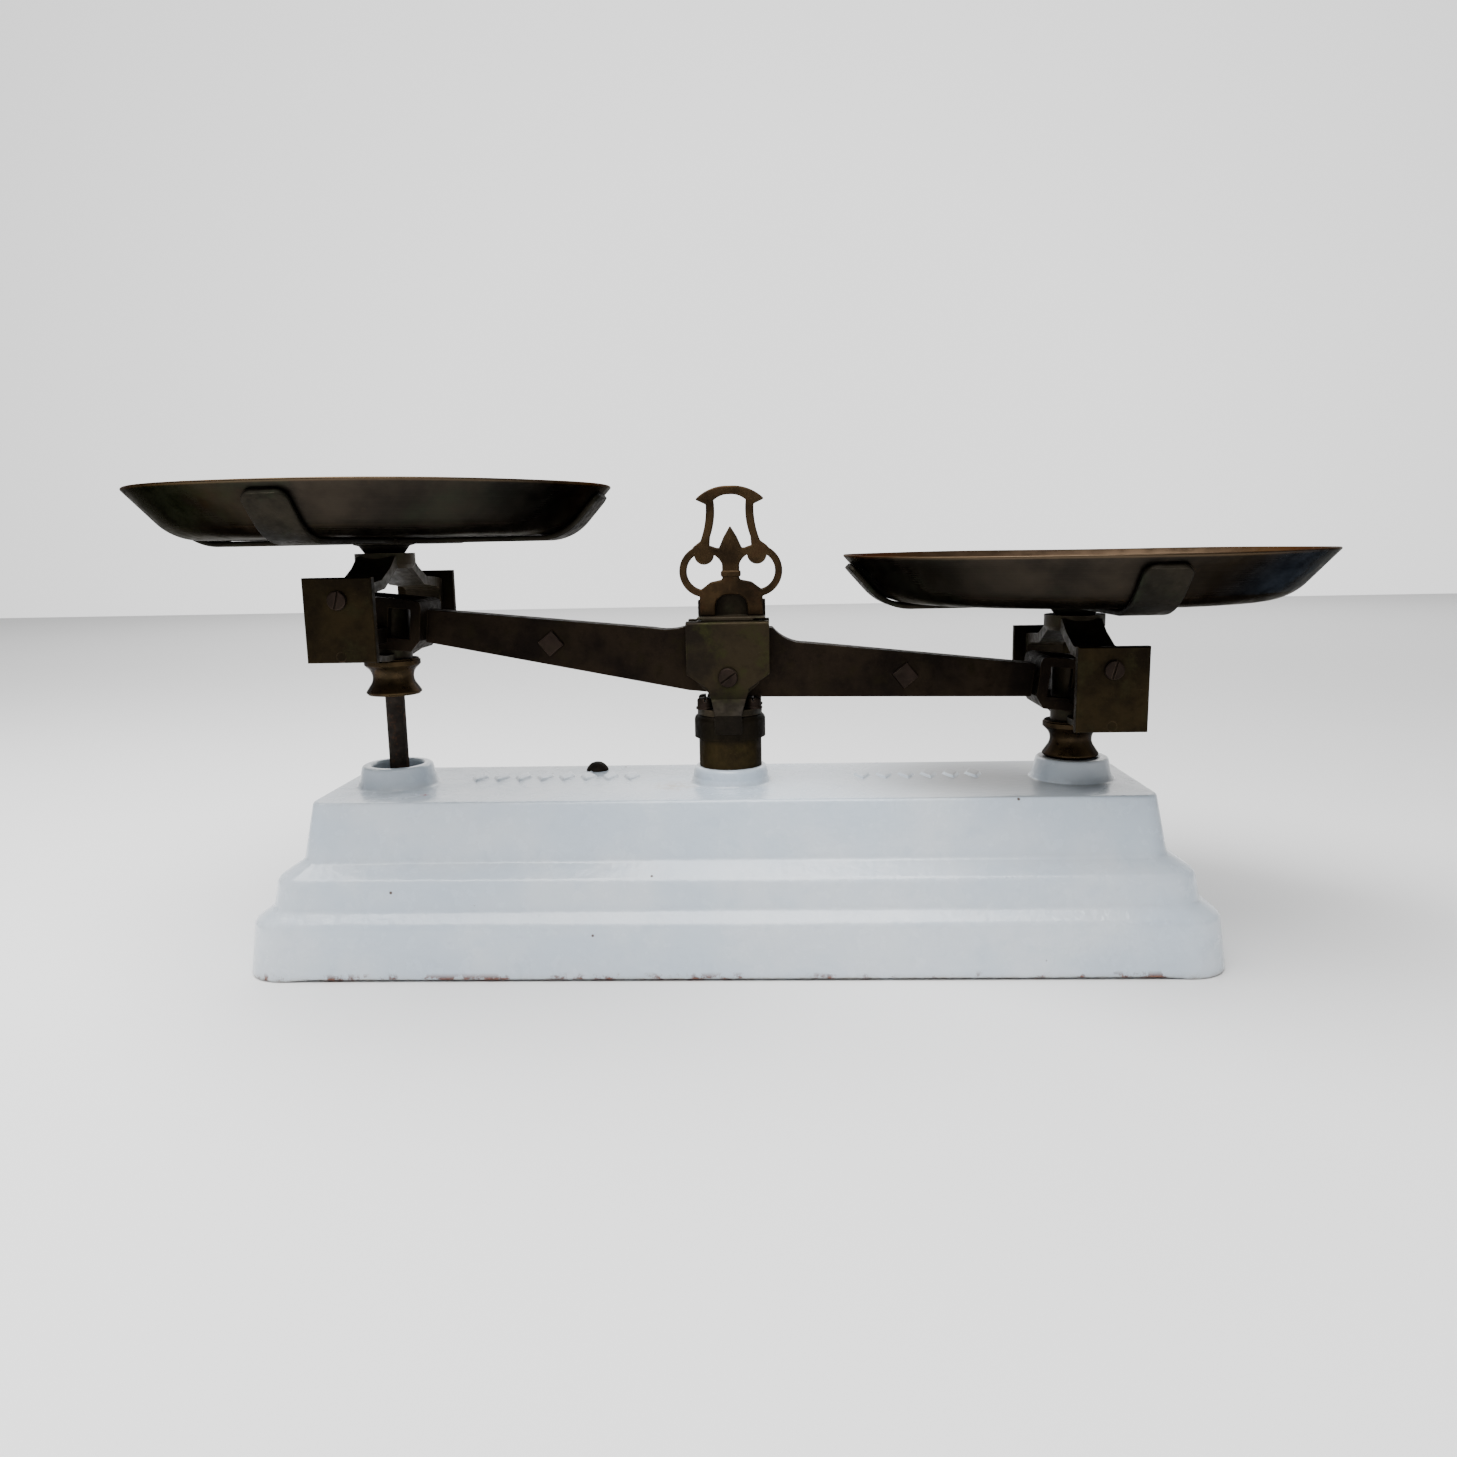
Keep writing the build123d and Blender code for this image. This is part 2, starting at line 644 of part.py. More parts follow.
def vase():
    """Turned vase between the hub and the stem."""
    bore = stem_radius + fit_gap
    return turned(
        Line((bore, vase_top), (13.0, vase_top)),
        RadiusArc((13.0, vase_top), (13.8, vase_top - 0.9), -0.9),
        Line((13.8, vase_top - 0.9), (13.8, vase_top - 3.0)),
        Line((13.8, vase_top - 3.0), (12.6, vase_top - 4.2)),
        ThreePointArc((12.6, vase_top - 4.2), (10.1, vase_top - 8.8), (11.4, vase_top - 13.2)),
        Line((11.4, vase_top - 13.2), (13.6, vase_bottom + 1.6)),
        Line((13.6, vase_bottom + 1.6), (13.6, vase_bottom + 0.8)),
        RadiusArc((13.6, vase_bottom + 0.8), (12.8, vase_bottom), -0.8),
        Line((12.8, vase_bottom), (bore, vase_bottom)),
        Line((bore, vase_bottom), (bore, vase_top)),
    )


def stem():
    """Iron rod from the hub down into the base."""
    return rod(stem_radius, lower_z - knife_z + 12.0, -12.0)


def stem_foot():
    """Clevis on the stem's end that straddles the counter beam."""
    drop = lower_z - knife_z
    body = block((-7, 7), (-9, 9), (drop - 7, drop + 20))
    body -= block((-8, 8), (-4.6, 4.6), (drop - 8, drop + 12))
    body -= rod(stem_radius + fit_gap, drop + 12, drop + 21)
    return body - cross_pin(foot_pin_radius + fit_gap, -10, 10, (0, drop))


def foot_pin():
    drop = lower_z - knife_z
    return cross_pin(foot_pin_radius, -9, 9, (0, drop)) + cross_pin(4.2, -10.4, -9, (0, drop))


# ---- pan and spider, drawn about the carrier's knife edge ------------------------------------------
def dish_curve(gap, cut_back):
    """Radial line of the pan's underside moved outwards by gap and stopped short by cut_back."""
    angle = math.radians(pan_flare)
    centre_r, centre_z = dish_bend_centre()
    radius = pan_bend + gap
    length = dish_flare_length() - cut_back
    floor = (centre_r, centre_z - radius)
    middle = (centre_r + radius * math.sin(angle / 2), centre_z - radius * math.cos(angle / 2))
    bend = (centre_r + radius * math.sin(angle), centre_z - radius * math.cos(angle))
    rim = (bend[0] + length * math.cos(angle), bend[1] + length * math.sin(angle))
    return floor, middle, bend, rim


def dish_flare_length():
    angle = math.radians(pan_flare)
    return (pan_depth - pan_bend * (1 - math.cos(angle))) / math.sin(angle)


def dish_bend_centre():
    angle = math.radians(pan_flare)
    run = pan_bend * math.sin(angle) + dish_flare_length() * math.cos(angle)
    return pan_radius - run, pan_floor + pan_bend


def dish(outer_gap, inner_gap, cut_back):
    """A turned dish between two offsets of the pan's underside."""
    floor, middle, bend, rim = dish_curve(outer_gap, cut_back)
    floor_in, middle_in, bend_in, rim_in = dish_curve(inner_gap, cut_back)
    return turned(
        Line((0, floor[1]), floor),
        ThreePointArc(floor, middle, bend),
        Line(bend, rim),
        Line(rim, rim_in),
        Line(rim_in, bend_in),
        ThreePointArc(bend_in, middle_in, floor_in),
        Line(floor_in, (0, floor_in[1])),
        Line((0, floor_in[1]), (0, floor[1])),
    )


def pan():
    return dish(0.0, -pan_wall, 0.0)


def spider():
    """Four flat arms that cup the pan, on a turned neck with a spigot."""
    band = dish(spider_gap + spider_thickness, spider_gap, spider_drop)
    reach = 2 * (pan_radius - spider_drop * 0.6)
    strip = RectangleRounded(reach, 2 * spider_half_width, 5.0)
    cross = extrude(strip + Rot(0, 0, 90) * strip, amount=100.0)
    underside = pan_floor - spider_gap - spider_thickness
    neck = turned(
        Line((0, carrier_boss_low), (spider_spigot, carrier_boss_low)),
        Line((spider_spigot, carrier_boss_low), (spider_spigot, carrier_boss_high)),
        Line((spider_spigot, carrier_boss_high), (9.6, carrier_boss_high)),
        Line((9.6, carrier_boss_high), (12.4, underside - 0.8)),
        Line((12.4, underside - 0.8), (12.4, underside + 1.0)),
        Line((12.4, underside + 1.0), (0, underside + 1.0)),
        Line((0, underside + 1.0), (0, carrier_boss_low)),
    )
    return (band & cross) + neck


# ---- counter beam, drawn level about its own pivot --------------------------------------------------
def counter_beam():
    bar = polygon([(-arm, -5), (0, -7), (arm, -5), (arm, 5), (0, 7), (-arm, 5)])
    body = slab(bar, -3.0, 3.0)
    body += cross_pin(9.0, -bracket_in + 0.5, bracket_in - 0.5)
    for x in (-arm, arm):
        body += cross_pin(7.0, -4.0, 4.0, (x, 0))
        body -= cross_pin(foot_pin_radius + 2 * pivot_gap, -5, 5, (x, 0))
    return body - cross_pin(lower_pin_radius + pivot_gap, -20, 20)


# ---- placing and writing ----------------------------------------------------------------------------
def write(name, parts):
    if not isinstance(parts, (list, tuple)):
        parts = [parts]
    solids = [solid for part in parts for solid in part.solids()]
    shape = solids[0] if len(solids) == 1 else Compound(children=solids)
    export_step(shape, os.path.join("parts", name + ".step"))


def write_placed(place, pieces):
    for name, parts in pieces.items():
        if not isinstance(parts, (list, tuple)):
            parts = [parts]
        write(name, [place * part for part in parts])


def carrier_pieces(side_name, heavy):
    pieces = {
        "top_yoke": top_yoke(),
        "front_plate": side_plate(-1),
        "rear_plate": side_plate(1),
        "plate_screws": plate_fasteners(plate_screw_z, plate_screw()),
        "plate_rivets": plate_fasteners(plate_rivet_z, plate_rivet()),
        "end_bearings": both_faces(end_bearing),
        "lower_yoke": lower_yoke(),
        "vase": vase(),
        "stem": stem(),
        "stem_foot": stem_foot(),
        "foot_pin": foot_pin(),
        "spider": Rot(0, 0, spider_turns[side_name]) * spider(),
        "pan": pan(),
    }
    if heavy:
        pieces["tare_plug"] = tare_plug()
    return {side_name + "_" + name: parts for name, parts in pieces.items()}


def main():
    os.makedirs("parts", exist_ok=True)
    screws, washers = fork_screws()
    write_placed(Location(), {
        "base_casting": base_casting(),
        "dome_bolt": dome_bolt(),
        "dome_nut": dome_nut(),
        "column": column(),
        "column_nut": column_nut(),
        "bearing_fork": bearing_fork(),
        "fork_screws": screws,
        "fork_washers": washers,
        "centre_bearings": both_faces(centre_bearing),
        "front_guard_plate": guard_plate(-1),
        "rear_guard_plate": guard_plate(1),
        "guard_screws": both_faces(guard_screw),
        "bridge": bridge(),
        "lyre": lyre(),
        "lower_bracket": lower_bracket(),
        "lower_pivot_pin": lower_pivot_pin(),
    })
    tilt = Rot(0, rest_tilt, 0)
    knives = end_knives()
    left_knives = [mirror(knife, about=Plane.YZ) for knife in knives]
    write_placed(Pos(0, 0, knife_z) * tilt, {
        "beam": beam_body(),
        "centre_knife": centre_knife(),
        "right_end_knives": knives,
        "left_end_knives": left_knives,
        "lozenge_studs": lozenge_studs(),
    })
    write_placed(Pos(0, 0, lower_z) * tilt, {"counter_beam": counter_beam()})
    reach = arm * math.cos(math.radians(rest_tilt))
    fall = arm * math.sin(math.radians(rest_tilt))
    write_placed(Pos(-reach, 0, knife_z + fall), carrier_pieces("left", False))
    write_placed(Pos(reach, 0, knife_z - fall), carrier_pieces("right", True))


main()
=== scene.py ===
import json
import math

import bmesh
import bpy
from mathutils import Matrix, Vector

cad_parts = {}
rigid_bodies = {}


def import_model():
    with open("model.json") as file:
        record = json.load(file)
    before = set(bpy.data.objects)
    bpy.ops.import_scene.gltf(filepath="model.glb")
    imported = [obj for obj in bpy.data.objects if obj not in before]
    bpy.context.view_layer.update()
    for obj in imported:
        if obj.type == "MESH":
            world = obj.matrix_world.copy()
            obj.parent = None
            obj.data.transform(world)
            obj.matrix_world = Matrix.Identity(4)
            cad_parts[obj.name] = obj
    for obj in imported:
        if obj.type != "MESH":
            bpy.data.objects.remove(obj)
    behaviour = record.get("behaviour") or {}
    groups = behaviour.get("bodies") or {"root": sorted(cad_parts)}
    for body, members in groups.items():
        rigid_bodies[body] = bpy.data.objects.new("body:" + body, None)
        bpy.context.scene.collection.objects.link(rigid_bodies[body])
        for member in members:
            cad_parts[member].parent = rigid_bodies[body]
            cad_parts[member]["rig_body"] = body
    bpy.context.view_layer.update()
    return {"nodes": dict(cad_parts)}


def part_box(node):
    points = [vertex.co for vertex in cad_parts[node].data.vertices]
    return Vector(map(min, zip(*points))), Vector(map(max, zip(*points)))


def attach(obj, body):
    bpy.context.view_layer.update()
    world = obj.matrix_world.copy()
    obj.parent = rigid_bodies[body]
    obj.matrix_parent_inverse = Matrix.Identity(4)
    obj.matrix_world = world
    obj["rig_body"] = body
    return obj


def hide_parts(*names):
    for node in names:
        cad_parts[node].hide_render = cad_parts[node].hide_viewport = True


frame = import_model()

# A two-pan Roberval balance in the frame's own axes: X runs from the left pan to the right pan, Y to
# the back and Z up. Shapes are written in millimetres and turned into metres with MM.
MM = 0.001
nodes = frame["nodes"]

# ---- the base's outside, the same numbers as the casting ----------------------------------------
TOP_HALF_LENGTH = 201.4
TOP_HALF_DEPTH = 42.8
CORNER_RADIUS = 9.0
CORNER_GROWTH = 0.45
# how far each tier stands out along y, its height, and the radius of its worn corner
TIERS = [(25.0, 0.0, 1.3), (22.4, 26.2, 5.5), (16.8, 31.6, 4.0), (14.6, 45.2, 5.5), (5.3, 52.2, 4.0),
         (0.0, 80.0, 2.4)]
OUT_ALONG_X = [(0.0, 0.0), (5.3, 5.0), (14.6, 16.0), (16.8, 18.4), (22.4, 26.7), (25.0, 29.8)]
WALL = 6.0
BASE_HEIGHT = 80.0
FOOT_LENGTH = 28.0
ARM = 171.2
BOSS_HOLE = 12.7
SPIGOT_HOLE = 7.04
BOSS_TOP = 91.0
PAD_TOP = 88.6
BOSS_SPREAD = 23.0  # where a boss's foot runs out into the flat top
FLAT_FROM = 7.0  # how far inside its own edge the top is filled as one flat face
INNER_FLAT_FROM = 8.0  # the same for the top's underside

# ---- the raised lozenges: first x, how many and y of each row --------------------------------------
LOZENGE_ROWS = ((-132.0, 8, 12.5), (67.0, 6, 10.0))
LOZENGE_PITCH = 11.4
LOZENGE_HALF_WIDTH = 4.0
LOZENGE_HALF_LENGTH = 10.0

# ---- pans and spiders, heights above their own knife edge ---------------------------------------
PAN_RADIUS = 113.0
PAN_FLOOR = 41.0
PAN_DEPTH = 22.3
PAN_WALL = 1.2
PAN_BEND = 24.0
PAN_FLARE = math.radians(48.0)
SPIDER_GAP = 0.3
SPIDER_THICKNESS = 2.6
SPIDER_HALF_WIDTH = 10.0
SPIDER_DROP = 4.0
SPIDER_TURNS = {"left": math.radians(-4.5), "right": math.radians(3.0)}


# ---- mesh helpers ---------------------------------------------------------------------------------
def new_object(name, bm, sharp_angle=40.0):
    """Turns a bmesh given in millimetres into a smooth-shaded object in metres."""
    bmesh.ops.remove_doubles(bm, verts=bm.verts, dist=1e-4)
    bmesh.ops.recalc_face_normals(bm, faces=bm.faces)
    bmesh.ops.scale(bm, vec=(MM, MM, MM), verts=bm.verts)
    mesh = bpy.data.meshes.new(name)
    bm.to_mesh(mesh)
    bm.free()
    finish_shading(mesh, sharp_angle)
    made = bpy.data.objects.new(name, mesh)
    bpy.context.scene.collection.objects.link(made)
    return made


def finish_shading(mesh, sharp_angle):
    mesh.polygons.foreach_set("use_smooth", [True] * len(mesh.polygons))
    mesh.set_sharp_from_angle(angle=math.radians(sharp_angle))


def rounded(points, steps=5):
    """The polyline through (a, b, radius) points with each inner corner rounded to its radius."""
    line = [Vector(points[0][:2])]
    for before, corner, after in zip(points, points[1:], points[2:]):
        here = Vector(corner[:2])
        to_before = Vector(before[:2]) - here
        to_after = Vector(after[:2]) - here
        half = to_before.angle(to_after) / 2
        if corner[2] <= 0 or half > math.radians(89):
            line.append(here)
            continue
        reach = min(corner[2] / math.tan(half), 0.48 * to_before.length, 0.48 * to_after.length)
        start = here + to_before.normalized() * reach
        end = here + to_after.normalized() * reach
        for step in range(steps + 1):
            t = step / steps
            line.append(start * (1 - t) ** 2 + here * 2 * t * (1 - t) + end * t**2)
    line.append(Vector(points[-1][:2]))
    return line


def lathe(bm, profile, centre=(0.0, 0.0, 0.0), segments=96):
    """Adds the surface turned from (radius, z) points about the vertical through centre."""
    rings = []
    for radius, z in profile:
        count = 1 if radius < 1e-6 else segments
        ring = []
        for index in range(count):
            angle = 2 * math.pi * index / segments
            ring.append(bm.verts.new((centre[0] + radius * math.cos(angle),
                                      centre[1] + radius * math.sin(angle), centre[2] + z)))
        rings.append(ring)
    for lower, upper in zip(rings, rings[1:]):
        bridge_rings(bm, lower, upper)
    return rings


def bridge_rings(bm, lower, upper):
    """Joins two closed rings, either of which may be a single point."""
    count = max(len(lower), len(upper))
    if count == 1:
        return
    for index in range(count):
        after = (index + 1) % count
        corners = [lower[index % len(lower)], lower[after % len(lower)],
                   upper[after % len(upper)], upper[index % len(upper)]]
        unique = list(dict.fromkeys(corners))
        if len(unique) > 2:
            bm.faces.new(unique)


def smoothstep(value, low, high):
    t = min(max((value - low) / (high - low), 0.0), 1.0)
    return t * t * (3 - 2 * t)


# ---- pieces carried over from the CAD, with worn and rounded edges --------------------------------
def softened(node, width, segments=2, crease=30.0):
    """A copy of a CAD node's mesh with flat faces merged and its edges rounded by width."""
    bm = bmesh.new()
    bm.from_mesh(nodes[node].data)
    bmesh.ops.remove_doubles(bm, verts=bm.verts, dist=2e-6)
    bmesh.ops.dissolve_limit(bm, angle_limit=math.radians(0.6), verts=bm.verts, edges=bm.edges)
    limit = math.radians(crease)
    edges = [e for e in bm.edges if e.is_manifold and e.calc_face_angle() > limit]
    bmesh.ops.bevel(bm, geom=edges, offset=width * MM, segments=segments, profile=0.5,
                    affect="EDGES", clamp_overlap=True)
    bmesh.ops.scale(bm, vec=(1 / MM, 1 / MM, 1 / MM), verts=bm.verts)
    piece = new_object("worn_" + node, bm, 50.0)
    even = piece.modifiers.new("even_normals", "WEIGHTED_NORMAL")
    even.keep_sharp = True
    return piece


def cast_copy(node, voxel, smoothing, regain):
    """A copy of a CAD node with edges as round as a small casting's, grown back by regain millimetres."""
    source = nodes[node]
    mesh = source.data.copy()
    piece = bpy.data.objects.new("cast_" + node, mesh)
    bpy.context.scene.collection.objects.link(piece)
    weld = piece.modifiers.new("weld", "WELD")
    weld.merge_threshold = 2e-6
    remesh = piece.modifiers.new("remesh", "REMESH")
    remesh.mode = "VOXEL"
    remesh.voxel_size = voxel * MM
    smooth = piece.modifiers.new("smooth", "SMOOTH")
    smooth.factor = 0.5
    smooth.iterations = smoothing
    grow = piece.modifiers.new("grow", "DISPLACE")
    grow.strength = regain * MM
    grow.mid_level = 0.0
    bpy.context.view_layer.update()
    graph = bpy.context.evaluated_depsgraph_get()
    baked = bpy.data.meshes.new_from_object(piece.evaluated_get(graph))
    piece.modifiers.clear()
    piece.data = baked
    finish_shading(baked, 180.0)
    return piece


# ---- base -------------------------------------------------------------------------------------------
def plan_loop(bm, setback, inset, z):
    """A ring of vertices round the body, setback outside the top's edge and inset inwards."""
    half_x = TOP_HALF_LENGTH + out_along_x(setback) - inset
    half_y = TOP_HALF_DEPTH + setback - inset
    radius = CORNER_RADIUS + CORNER_GROWTH * setback - 0.8 * inset
    corner_steps = 9
    sides = [(1, 1, 0.0, 8), (-1, 1, 90.0, 30), (-1, -1, 180.0, 8), (1, -1, 270.0, 30)]
    ring = []
    for index, (sx, sy, start, _) in enumerate(sides):
        centre = Vector((sx * (half_x - radius), sy * (half_y - radius)))
        for step in range(corner_steps + 1):
            angle = math.radians(start + 90.0 * step / corner_steps)
            ring.append(centre + radius * Vector((math.cos(angle), math.sin(angle))))
        after = sides[(index + 1) % 4]
        following = Vector((after[0] * (half_x - radius), after[1] * (half_y - radius)))
        end_angle = math.radians(start + 90.0)
        first = ring[-1]
        last = following + radius * Vector((math.cos(end_angle), math.sin(end_angle)))
        count = after[3]
        ring.extend(first.lerp(last, step / count) for step in range(1, count))
    return [bm.verts.new((p.x, p.y, z + rim_relief(p.x, p.y, z))) for p in ring]


def out_along_x(setback):
    """How far the body stands out along x where it stands out by setback along y."""
    for (y0, x0), (y1, x1) in zip(OUT_ALONG_X, OUT_ALONG_X[1:]):
        if y0 <= setback <= y1:
            return x0 + (x1 - x0) * (setback - y0) / (y1 - y0)
    return setback


def rim_relief(x, y, z):
    """The rim stands 1 mm clear of the table except at the four corner feet."""
    along_x = smoothstep(abs(x), TOP_HALF_LENGTH + OUT_ALONG_X[-1][1] - FOOT_LENGTH - 3, TOP_HALF_LENGTH + 3)
    along_y = smoothstep(abs(y), TOP_HALF_DEPTH + TIERS[0][0] - FOOT_LENGTH - 3, TOP_HALF_DEPTH - 1)
    return (1.0 - along_x * along_y) * (1.0 - smoothstep(z, 0.5, 3.0))


def fill_between(bm, rings):
    """Fills a flat region between an outer ring and the rings of its holes."""
    edges = []
    for ring in rings:
        for a, b in zip(ring, ring[1:] + ring[:1]):
            edges.append(bm.edges.get((a, b)) or bm.edges.new((a, b)))
    bmesh.ops.triangle_fill(bm, use_beauty=True, use_dissolve=False, edges=edges)


def boss_profile():
    """Radial line of a boss, from the flat top over the rounded lip and down its hole."""
    return rounded([(BOSS_SPREAD, BASE_HEIGHT, 0), (20.4, BASE_HEIGHT + 0.1, 3.0), (19.2, 83.0, 3.0),
                    (17.4, BOSS_TOP, 5.5), (13.6, BOSS_TOP, 1.0), (BOSS_HOLE, BOSS_TOP - 1.2, 1.5),
                    (BOSS_HOLE, BASE_HEIGHT - WALL, 0)], 8)


def pad_profile():
    """Radial line of the column's pad, from the flat top over its edge and down the spigot's hole."""
    return rounded([(BOSS_SPREAD, BASE_HEIGHT, 0), (20.3, BASE_HEIGHT + 0.1, 3.0), (19.0, 83.4, 3.0),
                    (18.2, PAD_TOP, 2.4), (SPIGOT_HOLE, PAD_TOP, 0),
                    (SPIGOT_HOLE, BASE_HEIGHT - WALL, 0)], 8)


def enamelled_base():
    """The stepped hollow casting with its bosses, pad and raised lozenges, softened by the enamel."""
    bm = bmesh.new()
    inner = [(setback, min(z, BASE_HEIGHT - WALL), radius * 0.6) for setback, z, radius in TIERS]
    inner[-1] = (0.0, BASE_HEIGHT - WALL, 2.0)
    foot = TIERS[0][0]
    inner_line = rounded([(-INNER_FLAT_FROM, BASE_HEIGHT - WALL, 0)] + inner[::-1][:-1] + [(foot, 0.0, 0)], 4)
    outer_line = rounded([(foot - WALL, 0.0, 0)] + TIERS + [(-FLAT_FROM, BASE_HEIGHT, 0)], 6)
    loops = [plan_loop(bm, setback, WALL, z) for setback, z in inner_line]
    loops += [plan_loop(bm, setback, 0.0, z) for setback, z in outer_line]
    for lower, upper in zip(loops, loops[1:]):
        bridge_rings(bm, lower, upper)
    holes_above = []
    holes_below = []
    for x, profile in ((-ARM, boss_profile()), (ARM, boss_profile()), (0.0, pad_profile())):
        rings = lathe(bm, profile, (x, 0.0, 0.0))
        holes_above.append(rings[0])
        holes_below.append(rings[-1])
    fill_between(bm, [loops[-1]] + holes_above)
    fill_between(bm, [loops[0]] + holes_below)
    for first, count, y in LOZENGE_ROWS:
        for index in range(count):
            lozenge(bm, first + LOZENGE_PITCH * index, y)
    return new_object("enamelled_base", bm, 60.0)


def lozenge(bm, x, y):
    """A raised lozenge with the soft edge that enamel gives it, sunk a little into the top."""
    power = 1.12
    rings = []
    for grow, lift in ((0.9, -0.1), (0.45, 0.08), (0.1, 0.45), (-0.3, 0.9), (-0.9, 1.25), (-1.9, 1.4)):
        ring = []
        for index in range(40):
            angle = 2 * math.pi * index / 40
            c = math.cos(angle)
            s = math.sin(angle)
            across = (LOZENGE_HALF_WIDTH + grow) * math.copysign(abs(c) ** (2 / power), c)
            along = (LOZENGE_HALF_LENGTH + 1.6 * grow) * math.copysign(abs(s) ** (2 / power), s)
            ring.append(bm.verts.new((x + across, y + along, BASE_HEIGHT + lift)))
        rings.append(ring)
    for lower, upper in zip(rings, rings[1:]):
        bridge_rings(bm, lower, upper)
    bridge_rings(bm, rings[-1], [bm.verts.new((x, y, BASE_HEIGHT + 1.42))])


# ---- pans and spiders --------------------------------------------------------------------------------
def dish_line(gap, cut_back):
    """Radial line of the pan's underside moved outwards by gap and stopped cut_back from the rim."""
    flare_length = (PAN_DEPTH - PAN_BEND * (1 - math.cos(PAN_FLARE))) / math.sin(PAN_FLARE)
    run = PAN_BEND * math.sin(PAN_FLARE) + flare_length * math.cos(PAN_FLARE)
    centre = Vector((PAN_RADIUS - run, PAN_FLOOR + PAN_BEND))
    radius = PAN_BEND + gap
    line = [Vector((centre.x * step / 8, centre.y - radius)) for step in range(8)]
    for step in range(13):
        angle = PAN_FLARE * step / 12
        line.append(centre + radius * Vector((math.sin(angle), -math.cos(angle))))
    slope = Vector((math.cos(PAN_FLARE), math.sin(PAN_FLARE)))
    last = line[-1]
    length = flare_length - cut_back
    line += [last + slope * length * step / 4 for step in range(1, 5)]
    return line


def pan(side, knife):
    """A spun dish with a rounded lip and the slight waviness of a rim that has been knocked about."""
    below = dish_line(0.0, 0.3)
    above = dish_line(-PAN_WALL, 0.3)
    slope = Vector((math.cos(PAN_FLARE), math.sin(PAN_FLARE)))
    lip_centre = (below[-1] + above[-1]) / 2
    lip = []
    for step in range(1, 6):
        angle = PAN_FLARE - math.pi / 2 + math.pi * step / 6
        lip.append(lip_centre + 0.5 * PAN_WALL * Vector((math.cos(angle), math.sin(angle))))
    bm = bmesh.new()
    lathe(bm, below + lip + above[::-1], knife, 144)
    phase = 0.7 if side == "left" else 2.3
    for vert in bm.verts:
        dx = vert.co.x - knife[0]
        dy = vert.co.y - knife[1]
        angle = math.atan2(dy, dx)
        near_rim = smoothstep(math.hypot(dx, dy), 96.0, PAN_RADIUS)
        wave = 0.30 * math.sin(2 * angle + phase) + 0.12 * math.sin(5 * angle + 2 * phase)
        vert.co.z += near_rim * wave
    return new_object(side + "_spun_pan", bm, 60.0)


def spider(side, knife):
    """Four flat arms that cup the pan, on a turned neck with a spigot."""
    bm = bmesh.new()
    for quarter in range(4):
        spider_arm(bm, knife, math.pi / 2 * quarter + SPIDER_TURNS[side])
    under = PAN_FLOOR - SPIDER_GAP
    low = under - SPIDER_THICKNESS
    lathe(bm, rounded([(0.0, 28.0, 0), (4.6, 28.0, 0.3), (5.0, 28.5, 0.3), (5.0, 33.5, 0), (9.6, 33.5, 0.5),
                       (12.2, low - 1.0, 1.2), (14.8, low - 0.4, 0.4), (14.8, under + 0.1, 0.4),
                       (0.0, under + 0.1, 0)], 4), knife, 64)
    return new_object(side + "_spider_forging", bm, 45.0)


def spider_arm(bm, knife, turn):
    """One arm: a strip with rounded edges that follows the pan's underside out to a rounded tip."""
    line = [p for p in dish_line(SPIDER_GAP, SPIDER_DROP) if p.x >= 8.0]
    tip = line[-1]
    slope = Vector((math.cos(PAN_FLARE), math.sin(PAN_FLARE)))
    line = line[:-1] + [tip - slope * back for back in (5.0, 4.2, 3.2, 2.0, 1.0, 0.4, 0.0)]
    line = sorted({(round(p.x, 4), round(p.y, 4)) for p in line})
    rotate = Matrix.Rotation(turn, 3, "Z")
    rings = []
    for index, point in enumerate(line):
        here = Vector(point)
        ahead = Vector(line[min(index + 1, len(line) - 1)]) - Vector(line[max(index - 1, 0)])
        outwards = Vector((ahead.y, -ahead.x)).normalized()
        to_tip = (tip - here).length
        narrow = 5.0 - math.sqrt(max(25.0 - (5.0 - min(to_tip, 5.0)) ** 2, 0.0))
        half = SPIDER_HALF_WIDTH - narrow
        thick = SPIDER_THICKNESS * (0.72 if to_tip < 0.2 else 1.0)
        rings.append([
            place_on_arm(bm, rotate, knife, here + outwards * depth, across)
            for across, depth in strip_section(half, thick)
        ])
    for lower, upper in zip(rings, rings[1:]):
        bridge_rings(bm, lower, upper)
    bm.faces.new(rings[0])
    bm.faces.new(rings[-1])


def strip_section(half, thick):
    """Cross-section of an arm as (across, depth below the pan side), with rounded edges."""
    edge = 0.9
    corners = [(half, 0.0, edge), (half, thick, edge), (-half, thick, edge), (-half, 0.0, edge)]
    points = []
    for index, corner in enumerate(corners):
        before = corners[index - 1]
        after = corners[(index + 1) % 4]
        points += [tuple(p) for p in rounded([before, corner, after], 3)[1:-1]]
    return points


def place_on_arm(bm, rotate, knife, radial, across):
    spot = rotate @ Vector((radial.x, across, radial.y))
    return bm.verts.new(Vector(knife) + spot)


# ---- node materials ---------------------------------------------------------------------------------
DULL = (0.30, 0.28, 0.26, 1.0)  # tarnish keeps faces seen at a low angle from going pale
DULL_PAN = (0.26, 0.25, 0.23, 1.0)
RUBBED_SHARE = 0.6  # how far worn edges go towards bare brass


